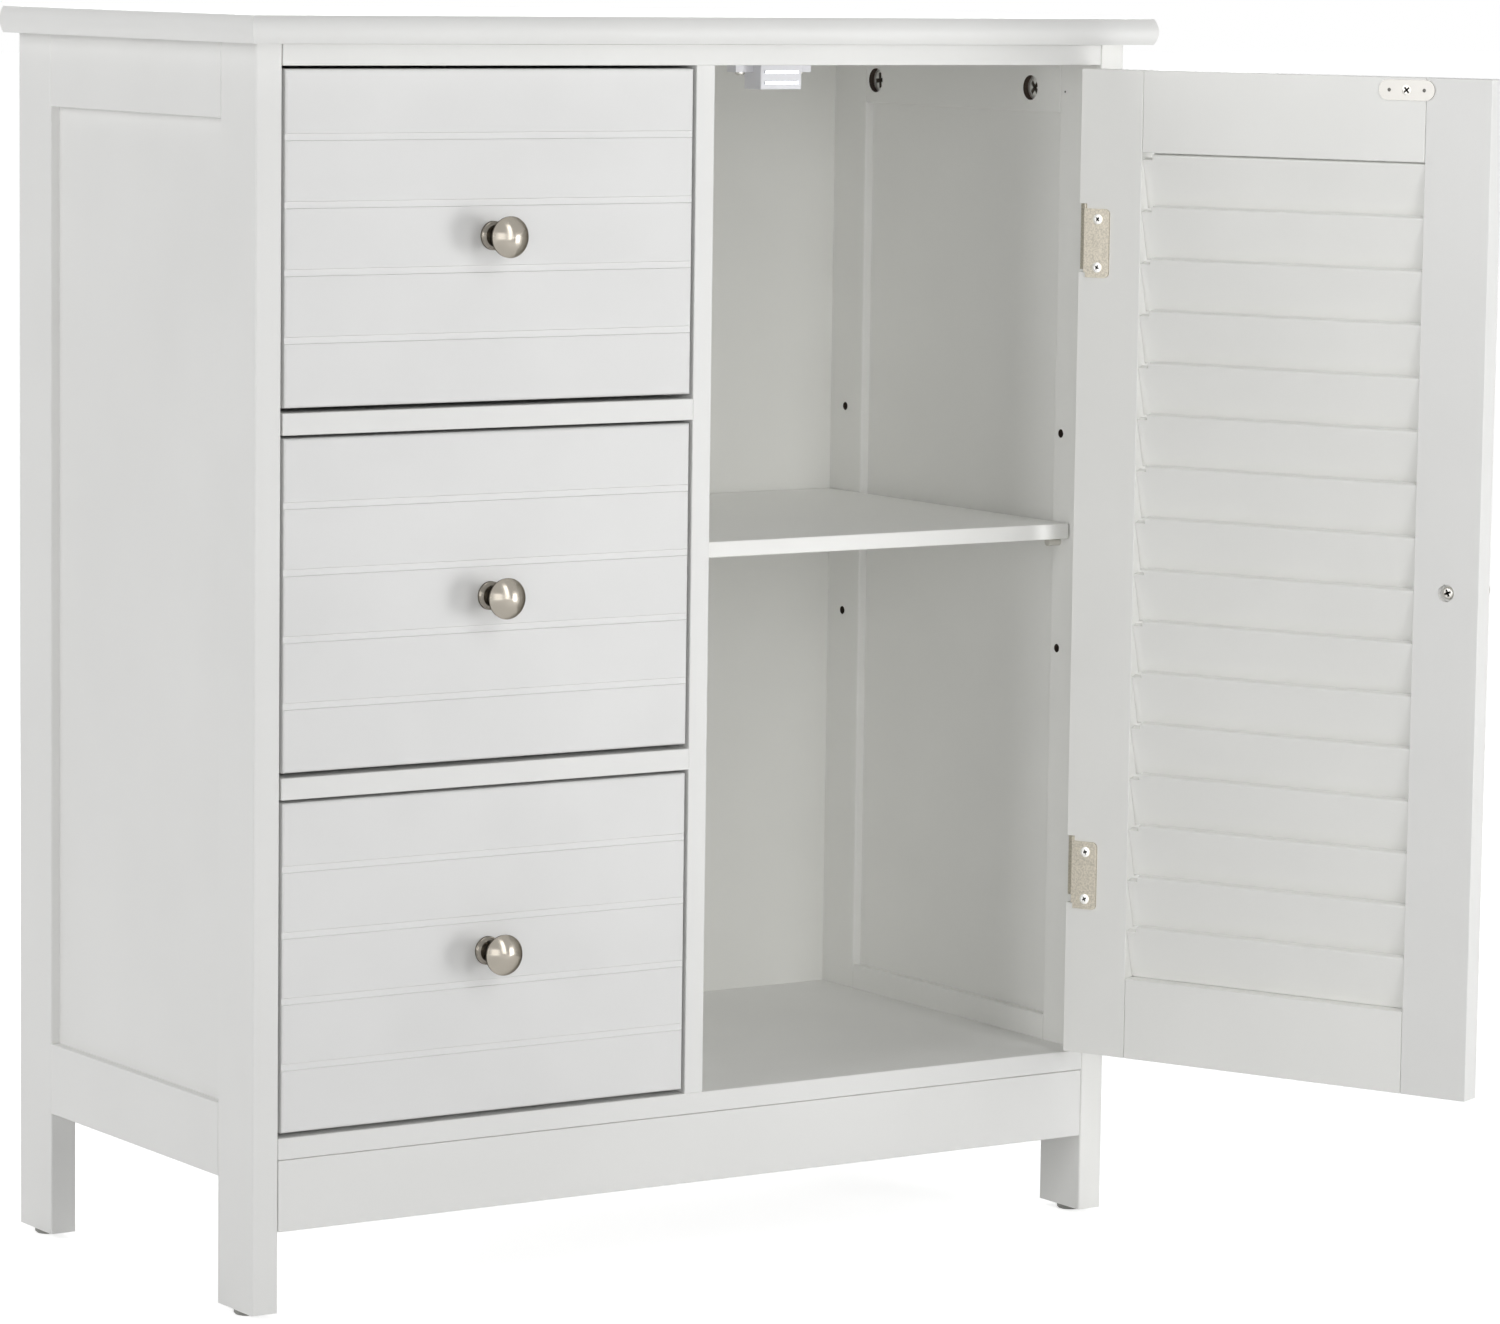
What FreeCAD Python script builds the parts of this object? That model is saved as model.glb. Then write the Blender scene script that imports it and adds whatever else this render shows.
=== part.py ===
"""Louvred-door cabinet: a white painted floor cupboard with three drawers on the left and, on the right, a
compartment behind one louvred door. Millimetres, +Z up, +Y to the back; the origin lies on the floor under the
middle of the carcass. The door stands open, as it is usually seen, and the drawers are shut."""

import FreeCAD, Part
import math
import os
import re
import Sketcher

# Driving sizes, in millimetres and degrees
SIZES = {
    # carcass
    "carcass_depth": 282,
    "post_width": 16,
    "post_depth": 40,
    "post_length": 692,
    "post_round": 1.2,
    "board": 12,
    "arris": 0.35,
    "joint_gap": 0.3,
    "floor_rise": 85,
    "apron_height": 40,
    "stretcher_depth": 60,
    "drawer_bay_width": 263.5,
    "door_bay_width": 268.5,
    "drawer_rail_depth": 50,
    "rail_end_gap": 1.2,
    # top
    "top_thickness": 15,
    "top_overhang_side": 12,
    "top_overhang_front": 18,
    "top_bulge": 2.2,
    # framed sides
    "side_rail_height": 41,
    "side_rail_rise": 71,
    "panel_thickness": 5,
    "panel_recess": 5.5,
    "panel_groove": 4,
    # back
    "back_thickness": 3,
    "back_inset": 3,
    "back_rabbet": 6,
    # shelf and its pins
    "shelf_thickness": 9,
    "shelf_setback": 22,
    "shelf_gap": 1,
    "pin_radius": 2.5,
    "pin_depth": 8.5,
    "pin_length": 17,
    "pin_spacing": 64,
    "pin_rise": 301,
    "pin_margin": 0.45,
    "pin_from_back": 22,
    "hole_clearance": 0.05,
    # glides under the legs
    "glide_radius": 7.5,
    "glide_height": 3,
    "glide_bevel": 0.9,
    # cam locks and bolts that hold the top down
    "cam_radius": 7.3,
    "cam_depth": 10,
    "cam_sink": 3.6,
    "cam_drop": 27,
    "cam_from_front": 70,
    "cam_from_back": 50,
    "cam_cross": 2.2,
    "cam_cross_depth": 1.2,
    "bolt_radius": 3,
    "bolt_grip": 9,
    "bolt_lift": 0.6,
    # magnetic catch and strike plate
    "catch_offset": 55,
    "catch_ear_width": 51,
    "catch_ear_height": 4.5,
    "catch_ear_depth": 9,
    "catch_width": 27.7,
    "catch_height": 14,
    "catch_depth": 17,
    "pole_width": 22.5,
    "pole_thickness": 1.6,
    "pole_pitch": 6,
    "pole_proud": 0.8,
    "pole_drop": 3.4,
    "pole_depth": 16,
    "strike_length": 35,
    "strike_height": 11.5,
    "strike_thickness": 0.8,
    "strike_drop": 7.2,
    "catch_clearance": 0.4,
    # door
    "door_open_angle": 113.5,
    "door_thickness": 14,
    "door_gap_hinge": 2.5,
    "door_gap_latch": 2,
    "door_gap_top": 1.8,
    "door_gap_bottom": 2.5,
    "stile_width": 41,
    "door_rail_height": 47.5,
    "slat_thickness": 5,
    "slat_nose": 1,
    "slat_setback": 1,
    "slat_overlap": 0.8,
    "slat_clearance": 0.5,
    "shoulder_drop": 3,
    "shoulder_length": 6.5,
    "mortise_depth": 5,
    "mortise_clearance": 0.15,
    # hinges
    "pivot_inset": 2.7,
    "notch_depth": 5.2,
    "hinge_height": 39.5,
    "hinge_from_top": 98,
    "hinge_from_bottom": 109,
    "leaf_thickness": 1.1,
    "frame_leaf_width": 15.2,
    "door_leaf_width": 15.5,
    "door_leaf_height": 40,
    "door_leaf_drop": 2.8,
    "leaf_corner": 3,
    "leaf_screw_radius": 1.7,
    "leaf_screw_inset": 8.1,
    "leaf_screw_pitch": 28,
    "knuckle_radius": 2.3,
    "knuckle_length": 13,
    "knuckle_proud": 2.4,
    "knuckle_clearance": 0.3,
    "hinge_pin_radius": 1.2,
    "running_clearance": 0.06,
    # knobs
    "knob_length": 24,
    "knob_head_radius": 11.45,
    "knob_dome": 5,
    "knob_rim": 2.5,
    "knob_neck_radius": 5,
    "knob_base_radius": 8,
    "knob_base_height": 1.6,
    "knob_base_cone": 1.6,
    "knob_screw_radius": 2.2,
    "counterbore_radius": 5,
    "counterbore_depth": 4,
    # drawers
    "front_thickness": 15,
    "front_gap_side": 2,
    "front_gap_top": 1.8,
    "front_gap_bottom": 2.7,
    "front_round": 1.5,
    "groove_width": 4.2,
    "groove_depth": 0.9,
    "box_board": 12,
    "box_height": 125,
    "box_rear_gap": 26,
    "tray_thickness": 3,
    "tray_rise": 8,
    "tray_seat": 5,
    # drawer slides
    "slide_space": 12.7,
    "slide_rise": 9,
    "slide_wall": 1.2,
    "channel_height": 20,
    "channel_width": 10.5,
    "channel_rear_gap": 9,
    "channel_setback": 17,
    "flange_lift": 0.5,
    "flange_reach": 9.6,
    "roller_inset": 2,
    "roller_width": 7.5,
    "front_roller_radius": 8.2,
    "front_roller_inset": 11,
    "rear_roller_radius": 8.4,
    "rear_roller_inset": 14,
    "roller_gap": 0.3,
    "axle_radius": 2,
    "axle_head_radius": 3,
    "axle_head": 0.6,
}
SLATS = 16
BANDS = 5
KNOB_STEPS = 3
FACE_REACH = 0.01
DRAWERS = ("lower", "middle", "upper")

doc = FreeCAD.newDocument("louvred_door_cabinet")
sheet = doc.addObject("Spreadsheet::Sheet", "Sizes")
for row, (alias, number) in enumerate(SIZES.items(), start=1):
    sheet.set(f"A{row}", alias)
    sheet.set(f"B{row}", str(number))
    sheet.setAlias(f"B{row}", alias)
doc.recompute()

# Planes of the cabinet, as formulas of the sizes
CARCASS_WIDTH = "(2 * post_width + drawer_bay_width + board + door_bay_width)"
LEFT, RIGHT = f"(-{CARCASS_WIDTH} / 2)", f"({CARCASS_WIDTH} / 2)"
FRONT, REAR = "(-carcass_depth / 2)", "(carcass_depth / 2)"
INNER_LEFT, INNER_RIGHT = f"({LEFT} + post_width)", f"({RIGHT} - post_width)"
UNDER_TOP = "(glide_height + post_length)"
UNDER_FLOOR = "(glide_height + floor_rise)"
FLOOR = f"({UNDER_FLOOR} + board)"
CEILING = f"({UNDER_TOP} - board)"
BACK_FACE = f"({REAR} - back_inset - back_thickness)"
BAY_RIGHT = f"({INNER_LEFT} + drawer_bay_width)"
CUPBOARD_LEFT = f"({BAY_RIGHT} + board)"
BAY_HEIGHT = f"(({CEILING} - {FLOOR} - 2 * board) / {len(DRAWERS)})"

# The side frames' rails, and the panel between them
SIDE_LOW = ("(glide_height + side_rail_rise)", "(glide_height + side_rail_rise + side_rail_height)")
SIDE_HIGH = (f"({UNDER_TOP} - side_rail_height)", UNDER_TOP)
SIDE_Y = (f"({FRONT} + post_depth)", f"({REAR} - post_depth)")
PANEL_Z = (f"({SIDE_LOW[1]} - panel_groove)", f"({SIDE_HIGH[0]} + panel_groove)")
PANEL_Y = (f"({SIDE_Y[0]} - panel_groove)", f"({SIDE_Y[1]} + panel_groove)")

# The door in its own frame, shut, whose origin is the hinge axis on the floor
PIVOT = (f"({INNER_RIGHT} - door_gap_hinge / 2 - pivot_inset)", f"({FRONT} - knuckle_proud)", "0")
HINGE_EDGE = "(pivot_inset - door_gap_hinge / 2)"
LEAF_EDGE = f"({HINGE_EDGE} - notch_depth)"
LATCH_EDGE = f"({CUPBOARD_LEFT} + door_gap_latch - {PIVOT[0]})"
DOOR_Y = ("knuckle_proud", "(knuckle_proud + door_thickness)")
DOOR_Z = (f"({FLOOR} + door_gap_bottom)", f"({CEILING} - door_gap_top)")
STILE_EDGES = (f"({LATCH_EDGE} + stile_width)", f"({HINGE_EDGE} - stile_width)")
LOUVRE_Z = (f"({DOOR_Z[0]} + door_rail_height)", f"({DOOR_Z[1]} - door_rail_height)")
SLAT_PITCH = f"(({LOUVRE_Z[1]} - {LOUVRE_Z[0]} - slat_overlap - 2 * slat_clearance) / {SLATS})"
HINGE_Z = (f"({DOOR_Z[0]} + hinge_from_bottom)", f"({DOOR_Z[1]} - hinge_from_top)")

ALIASES = re.compile(r"\b(" + "|".join(SIZES) + r")\b")
pieces = {}


def formula(text):
    """The text with each size's name turned into its cell of the sheet."""
    return ALIASES.sub(r"Sizes.\1", str(text))


def value(text):
    """What a formula comes to with the sizes as they are."""
    return float(sheet.evalExpression(formula(text)))


def bind(thing, formulas):
    for path, text in formulas.items():
        thing.setExpression(path, formula(text))


def new_body(label, at=("0", "0", "0"), turn=None):
    """An empty body at a place, turned about the upright axis where it belongs to the open door."""
    made = doc.addObject("PartDesign::Body", label)
    made.Label = label
    bind(made, dict(zip(("Placement.Base.x", "Placement.Base.y", "Placement.Base.z"), at)))
    if turn:
        made.Placement.Rotation = FreeCAD.Rotation(FreeCAD.Vector(0, 0, 1), 1)
        bind(made, {"Placement.Rotation.Angle": turn})
    return made


def block(made, x, y, z, kind="Additive"):
    """A box between two planes each way, added to the body or cut from it."""
    box = made.newObject(f"PartDesign::{kind}Box", f"{made.Label}_block")
    for size, axis, (low, high) in zip(("Length", "Width", "Height"), "xyz", (x, y, z)):
        bind(box, {size: f"({high}) - ({low})", f"Placement.Base.{axis}": low})
    return box


def slot(made, x, y, z):
    return block(made, x, y, z, "Subtractive")


TOWARDS = {
    "x": FreeCAD.Rotation(FreeCAD.Vector(0, 1, 0), 90),
    "y": FreeCAD.Rotation(FreeCAD.Vector(1, 0, 0), -90),
    "z": FreeCAD.Rotation(),
}


def rod(made, axis, at, radius, length, kind="Additive"):
    """A cylinder from a point along +X, +Y or +Z, added to the body or cut from it."""
    cylinder = made.newObject(f"PartDesign::{kind}Cylinder", f"{made.Label}_rod")
    cylinder.Placement.Rotation = TOWARDS[axis]
    bind(cylinder, {"Radius": radius, "Height": length})
    bind(cylinder, dict(zip(("Placement.Base.x", "Placement.Base.y", "Placement.Base.z"), at)))
    return cylinder


def bore(made, axis, at, radius, length):
    return rod(made, axis, at, radius, length, "Subtractive")


def edge_names(feature, test):
    """The edges whose middle passes the test, by name."""
    doc.recompute()
    numbered = enumerate(feature.Shape.Edges, start=1)
    return [f"Edge{number}" for number, edge in numbered if test(edge.CenterOfMass)]


def soften(made, feature, size, kind="Chamfer", test=None):
    """Ease a feature's edges: all of them, or those whose middle passes the test."""
    names = edge_names(feature, test or (lambda middle: True))
    eased = made.newObject(f"PartDesign::{kind}", f"{made.Label}_eased")
    eased.Base = (feature, names)
    bind(eased, {"Radius" if kind == "Fillet" else "Size": size})
    return eased


def board(label, x, y, z, at=("0", "0", "0"), turn=None, ease="arris"):
    """A sawn board with eased arrises, kept as a piece of the cabinet."""
    made = new_body(label, at, turn)
    blank = block(made, x, y, z)
    if ease:
        soften(made, blank, ease)
    pieces[label] = made
    return made


def outline(sketch, corners):
    """A closed outline, each corner fixed by formulas. A corner is (across, up), or (across, up, radius, turn)
    where an arc leaves it, turning left (1) or right (-1) on its way to the next corner."""
    spots = [FreeCAD.Vector(value(corner[0]), value(corner[1]), 0) for corner in corners]
    ends = []
    for corner, start, stop in zip(corners, spots, spots[1:] + spots[:1]):
        if len(corner) == 2:
            ends.append((sketch.addGeometry(Part.LineSegment(start, stop)), 1, 2))
            continue
        chord, turn = stop - start, corner[3]
        radius = value(corner[2])
        rise = radius - math.sqrt(radius**2 - chord.Length**2 / 4)
        middle = (start + stop) * 0.5 + FreeCAD.Vector(chord.y, -chord.x, 0).normalize() * rise * turn
        arc = Part.Arc(start, middle, stop) if turn > 0 else Part.Arc(stop, middle, start)
        ends.append((sketch.addGeometry(arc), 1, 2) if turn > 0 else (sketch.addGeometry(arc), 2, 1))
    for (edge, _, last), (following, first, _) in zip(ends, ends[1:] + ends[:1]):
        sketch.addConstraint(Sketcher.Constraint("Coincident", edge, last, following, first))
    for number, (corner, spot, (edge, first, _)) in enumerate(zip(corners, spots, ends)):
        for kind, distance, text in (("DistanceX", spot.x, corner[0]), ("DistanceY", spot.y, corner[1])):
            fixed = sketch.addConstraint(Sketcher.Constraint(kind, -1, 1, edge, first, distance))
            sketch.renameConstraint(fixed, f"{kind}{number}")
            bind(sketch, {f"Constraints.{kind}{number}": text})
        if len(corner) == 4:
            fixed = sketch.addConstraint(Sketcher.Constraint("Radius", edge, value(corner[2])))
            sketch.renameConstraint(fixed, f"Radius{number}")
            bind(sketch, {f"Constraints.Radius{number}": corner[2]})


def section(made, plane, offset, corners, tilt=None):
    """A sketch on one of the body's own planes, moved by the offset and turned by the tilt."""
    sketch = made.newObject("Sketcher::SketchObject", f"{made.Label}_section")
    support = next(f for f in made.Origin.OriginFeatures if f.Role == plane)
    sketch.AttachmentSupport = [(support, "")]
    sketch.MapMode = "FlatFace"
    bind(sketch, dict(zip([f"AttachmentOffset.Base.{axis}" for axis in "xyz"], offset)))
    if tilt:
        sketch.AttachmentOffset.Rotation = FreeCAD.Rotation(FreeCAD.Vector(0, 0, 1), 1)
        bind(sketch, {"AttachmentOffset.Rotation.Angle": tilt})
    outline(sketch, corners)
    return sketch


def turned(made, axis, at, corners):
    """A solid of revolution about a line along X, Y or Z. Each corner is (radius, along), or has an arc too."""
    if axis == "x":
        corners = [(corner[1], corner[0]) + tuple(corner[2:]) for corner in corners]
    upright = axis == "z"
    offset = (at[0], at[2], f"-({at[1]})") if upright else at
    sketch = section(made, "XZ_Plane" if upright else "XY_Plane", offset, corners)
    lathe = made.newObject("PartDesign::Revolution", f"{made.Label}_turned")
    lathe.Profile = sketch
    lathe.ReferenceAxis = (sketch, ["H_Axis" if axis == "x" else "V_Axis"])
    lathe.Angle = 360
    return lathe


def row_of(made, features, count, pitch):
    """Repeat features together down the body's upright axis."""
    pattern = made.newObject("PartDesign::LinearPattern", f"{made.Label}_row")
    pattern.Originals = features
    pattern.Direction = (next(f for f in made.Origin.OriginFeatures if f.Role == "Z_Axis"), [""])
    pattern.Reversed = True
    pattern.Occurrences = count
    bind(pattern, {"Length": f"{count - 1} * {pitch}"})
    made.Tip = pattern
    return pattern


def group(label, members):
    """Like pieces that share one name, each still a solid of its own."""
    together = doc.addObject("Part::Compound", label)
    together.Label = label
    together.Links = members
    pieces[label] = together


def bay_floor(number):
    """Height of the surface under a drawer bay, counted from the lowest."""
    return f"({FLOOR} + {number} * ({BAY_HEIGHT} + board))"


def across(wall, inward, near, far):
    """The span between two distances from a wall, measured towards +X (1) or -X (-1)."""
    if inward > 0:
        return (f"({wall} + {near})", f"({wall} + {far})")
    return (f"({wall} - {far})", f"({wall} - {near})")


# Framed sides: two posts, two rails and a thin recessed panel held in grooves all round
PIN_HEIGHTS = [f"({FLOOR} + pin_rise + {step} * pin_spacing)" for step in (-1, 0, 1)]
PIN_HOLE = "(pin_radius + hole_clearance)"
PIN_Y = (f"({PANEL_Y[0]} - pin_margin - {PIN_HOLE})", f"({REAR} - pin_from_back)")
CAM_Z = f"({UNDER_TOP} - cam_drop)"
CAM_Y = (f"({FRONT} + cam_from_front)", f"({REAR} - cam_from_back)")
CAM_HOLE = "cam_radius + hole_clearance"
BOLT_HOLE = "bolt_radius + hole_clearance"


def bolt_x(outer, inward):
    """The line of the cam bolts: the middle of the post's width."""
    return f"({outer} + {inward} * post_width / 2)"


for side, outer, inward in (("left", LEFT, 1), ("right", RIGHT, -1)):
    frame_x = across(outer, inward, "0", "post_width")
    panel_x = across(outer, inward, "panel_recess", "(panel_recess + panel_thickness)")
    rabbet_x = across(outer, inward, "(post_width - back_rabbet)", "post_width")
    inner_face = f"({outer} + {inward} * post_width)"
    for end, post_y, groove_y, pin_y in (
        ("front", (FRONT, SIDE_Y[0]), (PANEL_Y[0], SIDE_Y[0]), PIN_Y[0]),
        ("rear", (SIDE_Y[1], REAR), (SIDE_Y[1], PANEL_Y[1]), PIN_Y[1]),
    ):
        post = board(f"{end}_{side}_post", frame_x, post_y, ("glide_height", UNDER_TOP), ease=None)
        upright = value(UNDER_TOP) / 2
        soften(post, post.Tip, "post_round", "Fillet", lambda middle: abs(middle.z - upright) < upright / 2)
        slot(post, panel_x, groove_y, PANEL_Z)
        if end == "rear":
            slot(post, rabbet_x, (BACK_FACE, REAR), (UNDER_FLOOR, UNDER_TOP))
        if side == "right":
            for height in PIN_HEIGHTS:
                bore(post, "x", (inner_face, pin_y, height), PIN_HOLE, "pin_depth")
    top_rail = board(f"{side}_top_rail", frame_x, SIDE_Y, SIDE_HIGH)
    slot(top_rail, panel_x, SIDE_Y, (SIDE_HIGH[0], PANEL_Z[1]))
    for cam_y in CAM_Y:
        cam_from = across(outer, inward, "(post_width - cam_sink - cam_depth)", "post_width")[0]
        bore(top_rail, "x", (cam_from, cam_y, CAM_Z), CAM_HOLE, "cam_depth + cam_sink")
        bore(top_rail, "z", (bolt_x(outer, inward), cam_y, CAM_Z), BOLT_HOLE, "cam_drop")
    low_rail = board(f"{side}_bottom_rail", frame_x, SIDE_Y, SIDE_LOW)
    slot(low_rail, panel_x, SIDE_Y, (PANEL_Z[0], SIDE_LOW[1]))
    board(f"{side}_side_panel", panel_x, PANEL_Y, PANEL_Z, ease=None)

# Top: a board whose front and both ends bulge as a shallow arc, held down by four cam bolts
TOP_FACE = f"({UNDER_TOP} + top_thickness)"
TOP_X = (f"({LEFT} - top_overhang_side + top_bulge)", f"({RIGHT} + top_overhang_side - top_bulge)")
TOP_EDGE = f"({FRONT} - top_overhang_front)"
TOP_ARC = "((top_thickness ^ 2 / 4 + top_bulge ^ 2) / (2 * top_bulge))"
top = new_body("top_panel")
plank = top.newObject("PartDesign::Pad", "top_plank")
plank.Profile = section(top, "XZ_Plane", ("0", "0", f"-{REAR}"), [
    (TOP_X[0], UNDER_TOP),
    (TOP_X[1], UNDER_TOP, TOP_ARC, 1),
    (TOP_X[1], TOP_FACE),
    (TOP_X[0], TOP_FACE, TOP_ARC, 1),
])
bind(plank, {"Length": f"{REAR} - {TOP_EDGE}"})
shaving = top.newObject("PartDesign::Pocket", "top_front_edge")
shaving.Profile = section(top, "YZ_Plane", ("0", "0", "0"), [
    (f"{TOP_EDGE} + top_bulge", TOP_FACE, TOP_ARC, 1),
    (f"{TOP_EDGE} + top_bulge", UNDER_TOP),
    (f"{TOP_EDGE} - top_bulge", UNDER_TOP),
    (f"{TOP_EDGE} - top_bulge", TOP_FACE),
])
shaving.Type = "ThroughAll"
shaving.SideType = "Symmetric"
pieces["top_panel"] = top
cams = []
for outer, inward in ((LEFT, 1), (RIGHT, -1)):
    for cam_y in CAM_Y:
        bolt_line = bolt_x(outer, inward)
        bore(top, "z", (bolt_line, cam_y, UNDER_TOP), BOLT_HOLE, "bolt_grip")
        cam_x = across(outer, inward, "(post_width - cam_sink - cam_depth)", "(post_width - cam_sink)")
        cam = new_body("cam_lock")
        rod(cam, "x", (cam_x[0], cam_y, CAM_Z), "cam_radius", "cam_depth")
        bore(cam, "z", (bolt_line, cam_y, CAM_Z), BOLT_HOLE, "cam_radius")
        face_x = across(outer, inward, "(post_width - cam_sink - cam_cross_depth)", "(post_width - cam_sink)")
        for reach_y, reach_z in (("cam_radius / 2", "cam_cross / 2"), ("cam_cross / 2", "cam_radius / 2")):
            slot(
                cam,
                face_x,
                (f"{cam_y} - {reach_y}", f"{cam_y} + {reach_y}"),
                (f"{CAM_Z} - {reach_z}", f"{CAM_Z} + {reach_z}"),
            )
        cam_bolt = new_body("cam_bolt")
        rod(cam_bolt, "z", (bolt_line, cam_y, f"{CAM_Z} + bolt_lift"), "bolt_radius",
            "cam_drop + bolt_grip - bolt_lift")
        cams += [cam, cam_bolt]
group("cam_fittings", cams)

# Inner carcass: front top rail, floor, apron, divider, the rails between the drawers and the thin back
INNER_X = (INNER_LEFT, INNER_RIGHT)
JOINTED_X = (f"{INNER_LEFT} + joint_gap", f"{INNER_RIGHT} - joint_gap")
TOP_RAIL_Z = (CEILING, f"{UNDER_TOP} - joint_gap")
board("front_top_rail", JOINTED_X, (FRONT, f"{FRONT} + stretcher_depth"), TOP_RAIL_Z)
board("bottom_panel", INNER_X, (FRONT, BACK_FACE), (UNDER_FLOOR, FLOOR))
APRON_Z = (f"{UNDER_FLOOR} - apron_height", f"{UNDER_FLOOR} - joint_gap")
board("front_apron", JOINTED_X, (FRONT, f"{FRONT} + board"), APRON_Z)
divider = board("centre_divider", (BAY_RIGHT, CUPBOARD_LEFT), (FRONT, BACK_FACE), (FLOOR, UNDER_TOP))
slot(divider, (BAY_RIGHT, CUPBOARD_LEFT), (FRONT, f"{FRONT} + stretcher_depth"), (CEILING, UNDER_TOP))
for pin_y in PIN_Y:
    for height in PIN_HEIGHTS:
        bore(divider, "x", (f"{CUPBOARD_LEFT} - pin_depth", pin_y, height), PIN_HOLE, "pin_depth")
for number, name in ((1, "lower_drawer_rail"), (2, "upper_drawer_rail")):
    board(
        name,
        (f"{INNER_LEFT} + rail_end_gap", BAY_RIGHT),
        (FRONT, f"{FRONT} + drawer_rail_depth"),
        (f"{bay_floor(number)} - board", bay_floor(number)),
    )
board(
    "back_panel",
    (f"{INNER_LEFT} - back_rabbet", f"{INNER_RIGHT} + back_rabbet"),
    (BACK_FACE, f"{BACK_FACE} + back_thickness"),
    (UNDER_FLOOR, UNDER_TOP),
    ease=None,
)

# Loose shelf on four pins, which fit any of three heights
SHELF_LOW = f"({PIN_HEIGHTS[1]} + pin_radius)"
board(
    "shelf",
    (f"{CUPBOARD_LEFT} + shelf_gap", f"{INNER_RIGHT} - shelf_gap"),
    (f"{FRONT} + shelf_setback", f"{BACK_FACE} - shelf_gap"),
    (SHELF_LOW, f"{SHELF_LOW} + shelf_thickness"),
)
shelf_pins = []
for pin_y in PIN_Y:
    for pin_x in (f"{CUPBOARD_LEFT} - pin_depth", f"{INNER_RIGHT} + pin_depth - pin_length"):
        shelf_pin = new_body("shelf_pin")
        rod(shelf_pin, "x", (pin_x, pin_y, PIN_HEIGHTS[1]), "pin_radius", "pin_length")
        shelf_pins.append(shelf_pin)
group("shelf_pins", shelf_pins)

# Glides: turned plastic discs under the middle of each leg
glides = []
for outer, inward in ((LEFT, 1), (RIGHT, -1)):
    for leg_y in (f"({FRONT} + post_depth / 2)", f"({REAR} - post_depth / 2)"):
        glide = new_body("foot_glide")
        turned(glide, "z", (bolt_x(outer, inward), leg_y, "0"), [
            ("0", "0"),
            ("glide_radius - glide_bevel", "0"),
            ("glide_radius", "glide_bevel"),
            ("glide_radius", "glide_height"),
            ("0", "glide_height"),
        ])
        glides.append(glide)
group("foot_glides", glides)

# Magnetic catch under the front top rail: a moulded body with two ears, and two steel poles
CATCH_X = f"({CUPBOARD_LEFT} + catch_offset)"
CATCH_Y = f"({FRONT} + door_thickness + strike_thickness + catch_clearance + pole_proud)"


def about(middle, width):
    return (f"{middle} - {width} / 2", f"{middle} + {width} / 2")


POLE_X = about(CATCH_X, "pole_width")
POLE_Z = [f"({CEILING} - pole_drop - {number} * pole_pitch)" for number in (0, 1)]
catch = board(
    "catch_body",
    about(CATCH_X, "catch_width"),
    (CATCH_Y, f"{CATCH_Y} + catch_depth"),
    (f"{CEILING} - catch_height", CEILING),
)
block(
    catch,
    about(CATCH_X, "catch_ear_width"),
    (f"{CATCH_Y} + catch_depth - catch_ear_depth", f"{CATCH_Y} + catch_depth"),
    (f"{CEILING} - catch_ear_height", CEILING),
)
poles = []
for pole_top in POLE_Z:
    pole_z = (f"{pole_top} - pole_thickness", pole_top)
    slot(catch, POLE_X, (CATCH_Y, f"{CATCH_Y} + pole_depth"), pole_z)
    pole = new_body("catch_pole")
    block(pole, POLE_X, (f"{CATCH_Y} - pole_proud", f"{CATCH_Y} + pole_depth"), pole_z)
    poles.append(pole)
group("catch_poles", poles)

# Louvred door: full-height stiles, rails between them, and slats that seat in mortises, each with a shouldered
# tenon at its hinge end
DOOR = {"at": PIVOT, "turn": "door_open_angle"}
SLAT_LEAN = "(door_thickness - 2 * slat_setback - slat_thickness)"
SLAT_DROP = f"({SLAT_PITCH} + slat_overlap - slat_thickness)"
SLAT_LENGTH = f"(sqrt({SLAT_LEAN} ^ 2 + {SLAT_DROP} ^ 2) + slat_thickness)"
SLAT_TILT = f"-atan2({SLAT_LEAN}; {SLAT_DROP})"
FIRST_SLAT = f"({LOUVRE_Z[1]} - slat_clearance - ({SLAT_PITCH} + slat_overlap) / 2)"
DOOR_MIDDLE_Y = "(knuckle_proud + door_thickness / 2)"


def lean(made, plane_x, corners):
    """A sketch across the door at the first slat's middle, leaning in at its top as the slats do."""
    return section(made, "YZ_Plane", (DOOR_MIDDLE_Y, FIRST_SLAT, plane_x), corners, SLAT_TILT)


SLAT_HALF, SLAT_TALL = "(slat_thickness / 2)", f"({SLAT_LENGTH} / 2)"
ROUND_STRIP = [
    (f"-({SLAT_HALF} - slat_nose)", f"-{SLAT_TALL}"),
    (f"{SLAT_HALF} - slat_nose", f"-{SLAT_TALL}", "slat_nose", 1),
    (SLAT_HALF, f"-({SLAT_TALL} - slat_nose)"),
    (SLAT_HALF, f"{SLAT_TALL} - slat_nose", "slat_nose", 1),
    (f"{SLAT_HALF} - slat_nose", SLAT_TALL),
    (f"-({SLAT_HALF} - slat_nose)", SLAT_TALL, "slat_nose", 1),
    (f"-{SLAT_HALF}", f"{SLAT_TALL} - slat_nose"),
    (f"-{SLAT_HALF}", f"-({SLAT_TALL} - slat_nose)", "slat_nose", 1),
]
TENON_TOP = f"({SLAT_TALL} - shoulder_drop)"
SHOULDER = [
    ("-slat_thickness", TENON_TOP),
    ("slat_thickness", TENON_TOP),
    ("slat_thickness", f"{SLAT_TALL} + slat_thickness"),
    ("-slat_thickness", f"{SLAT_TALL} + slat_thickness"),
]
MORTISE_HALF = f"({SLAT_HALF} + mortise_clearance)"


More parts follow.
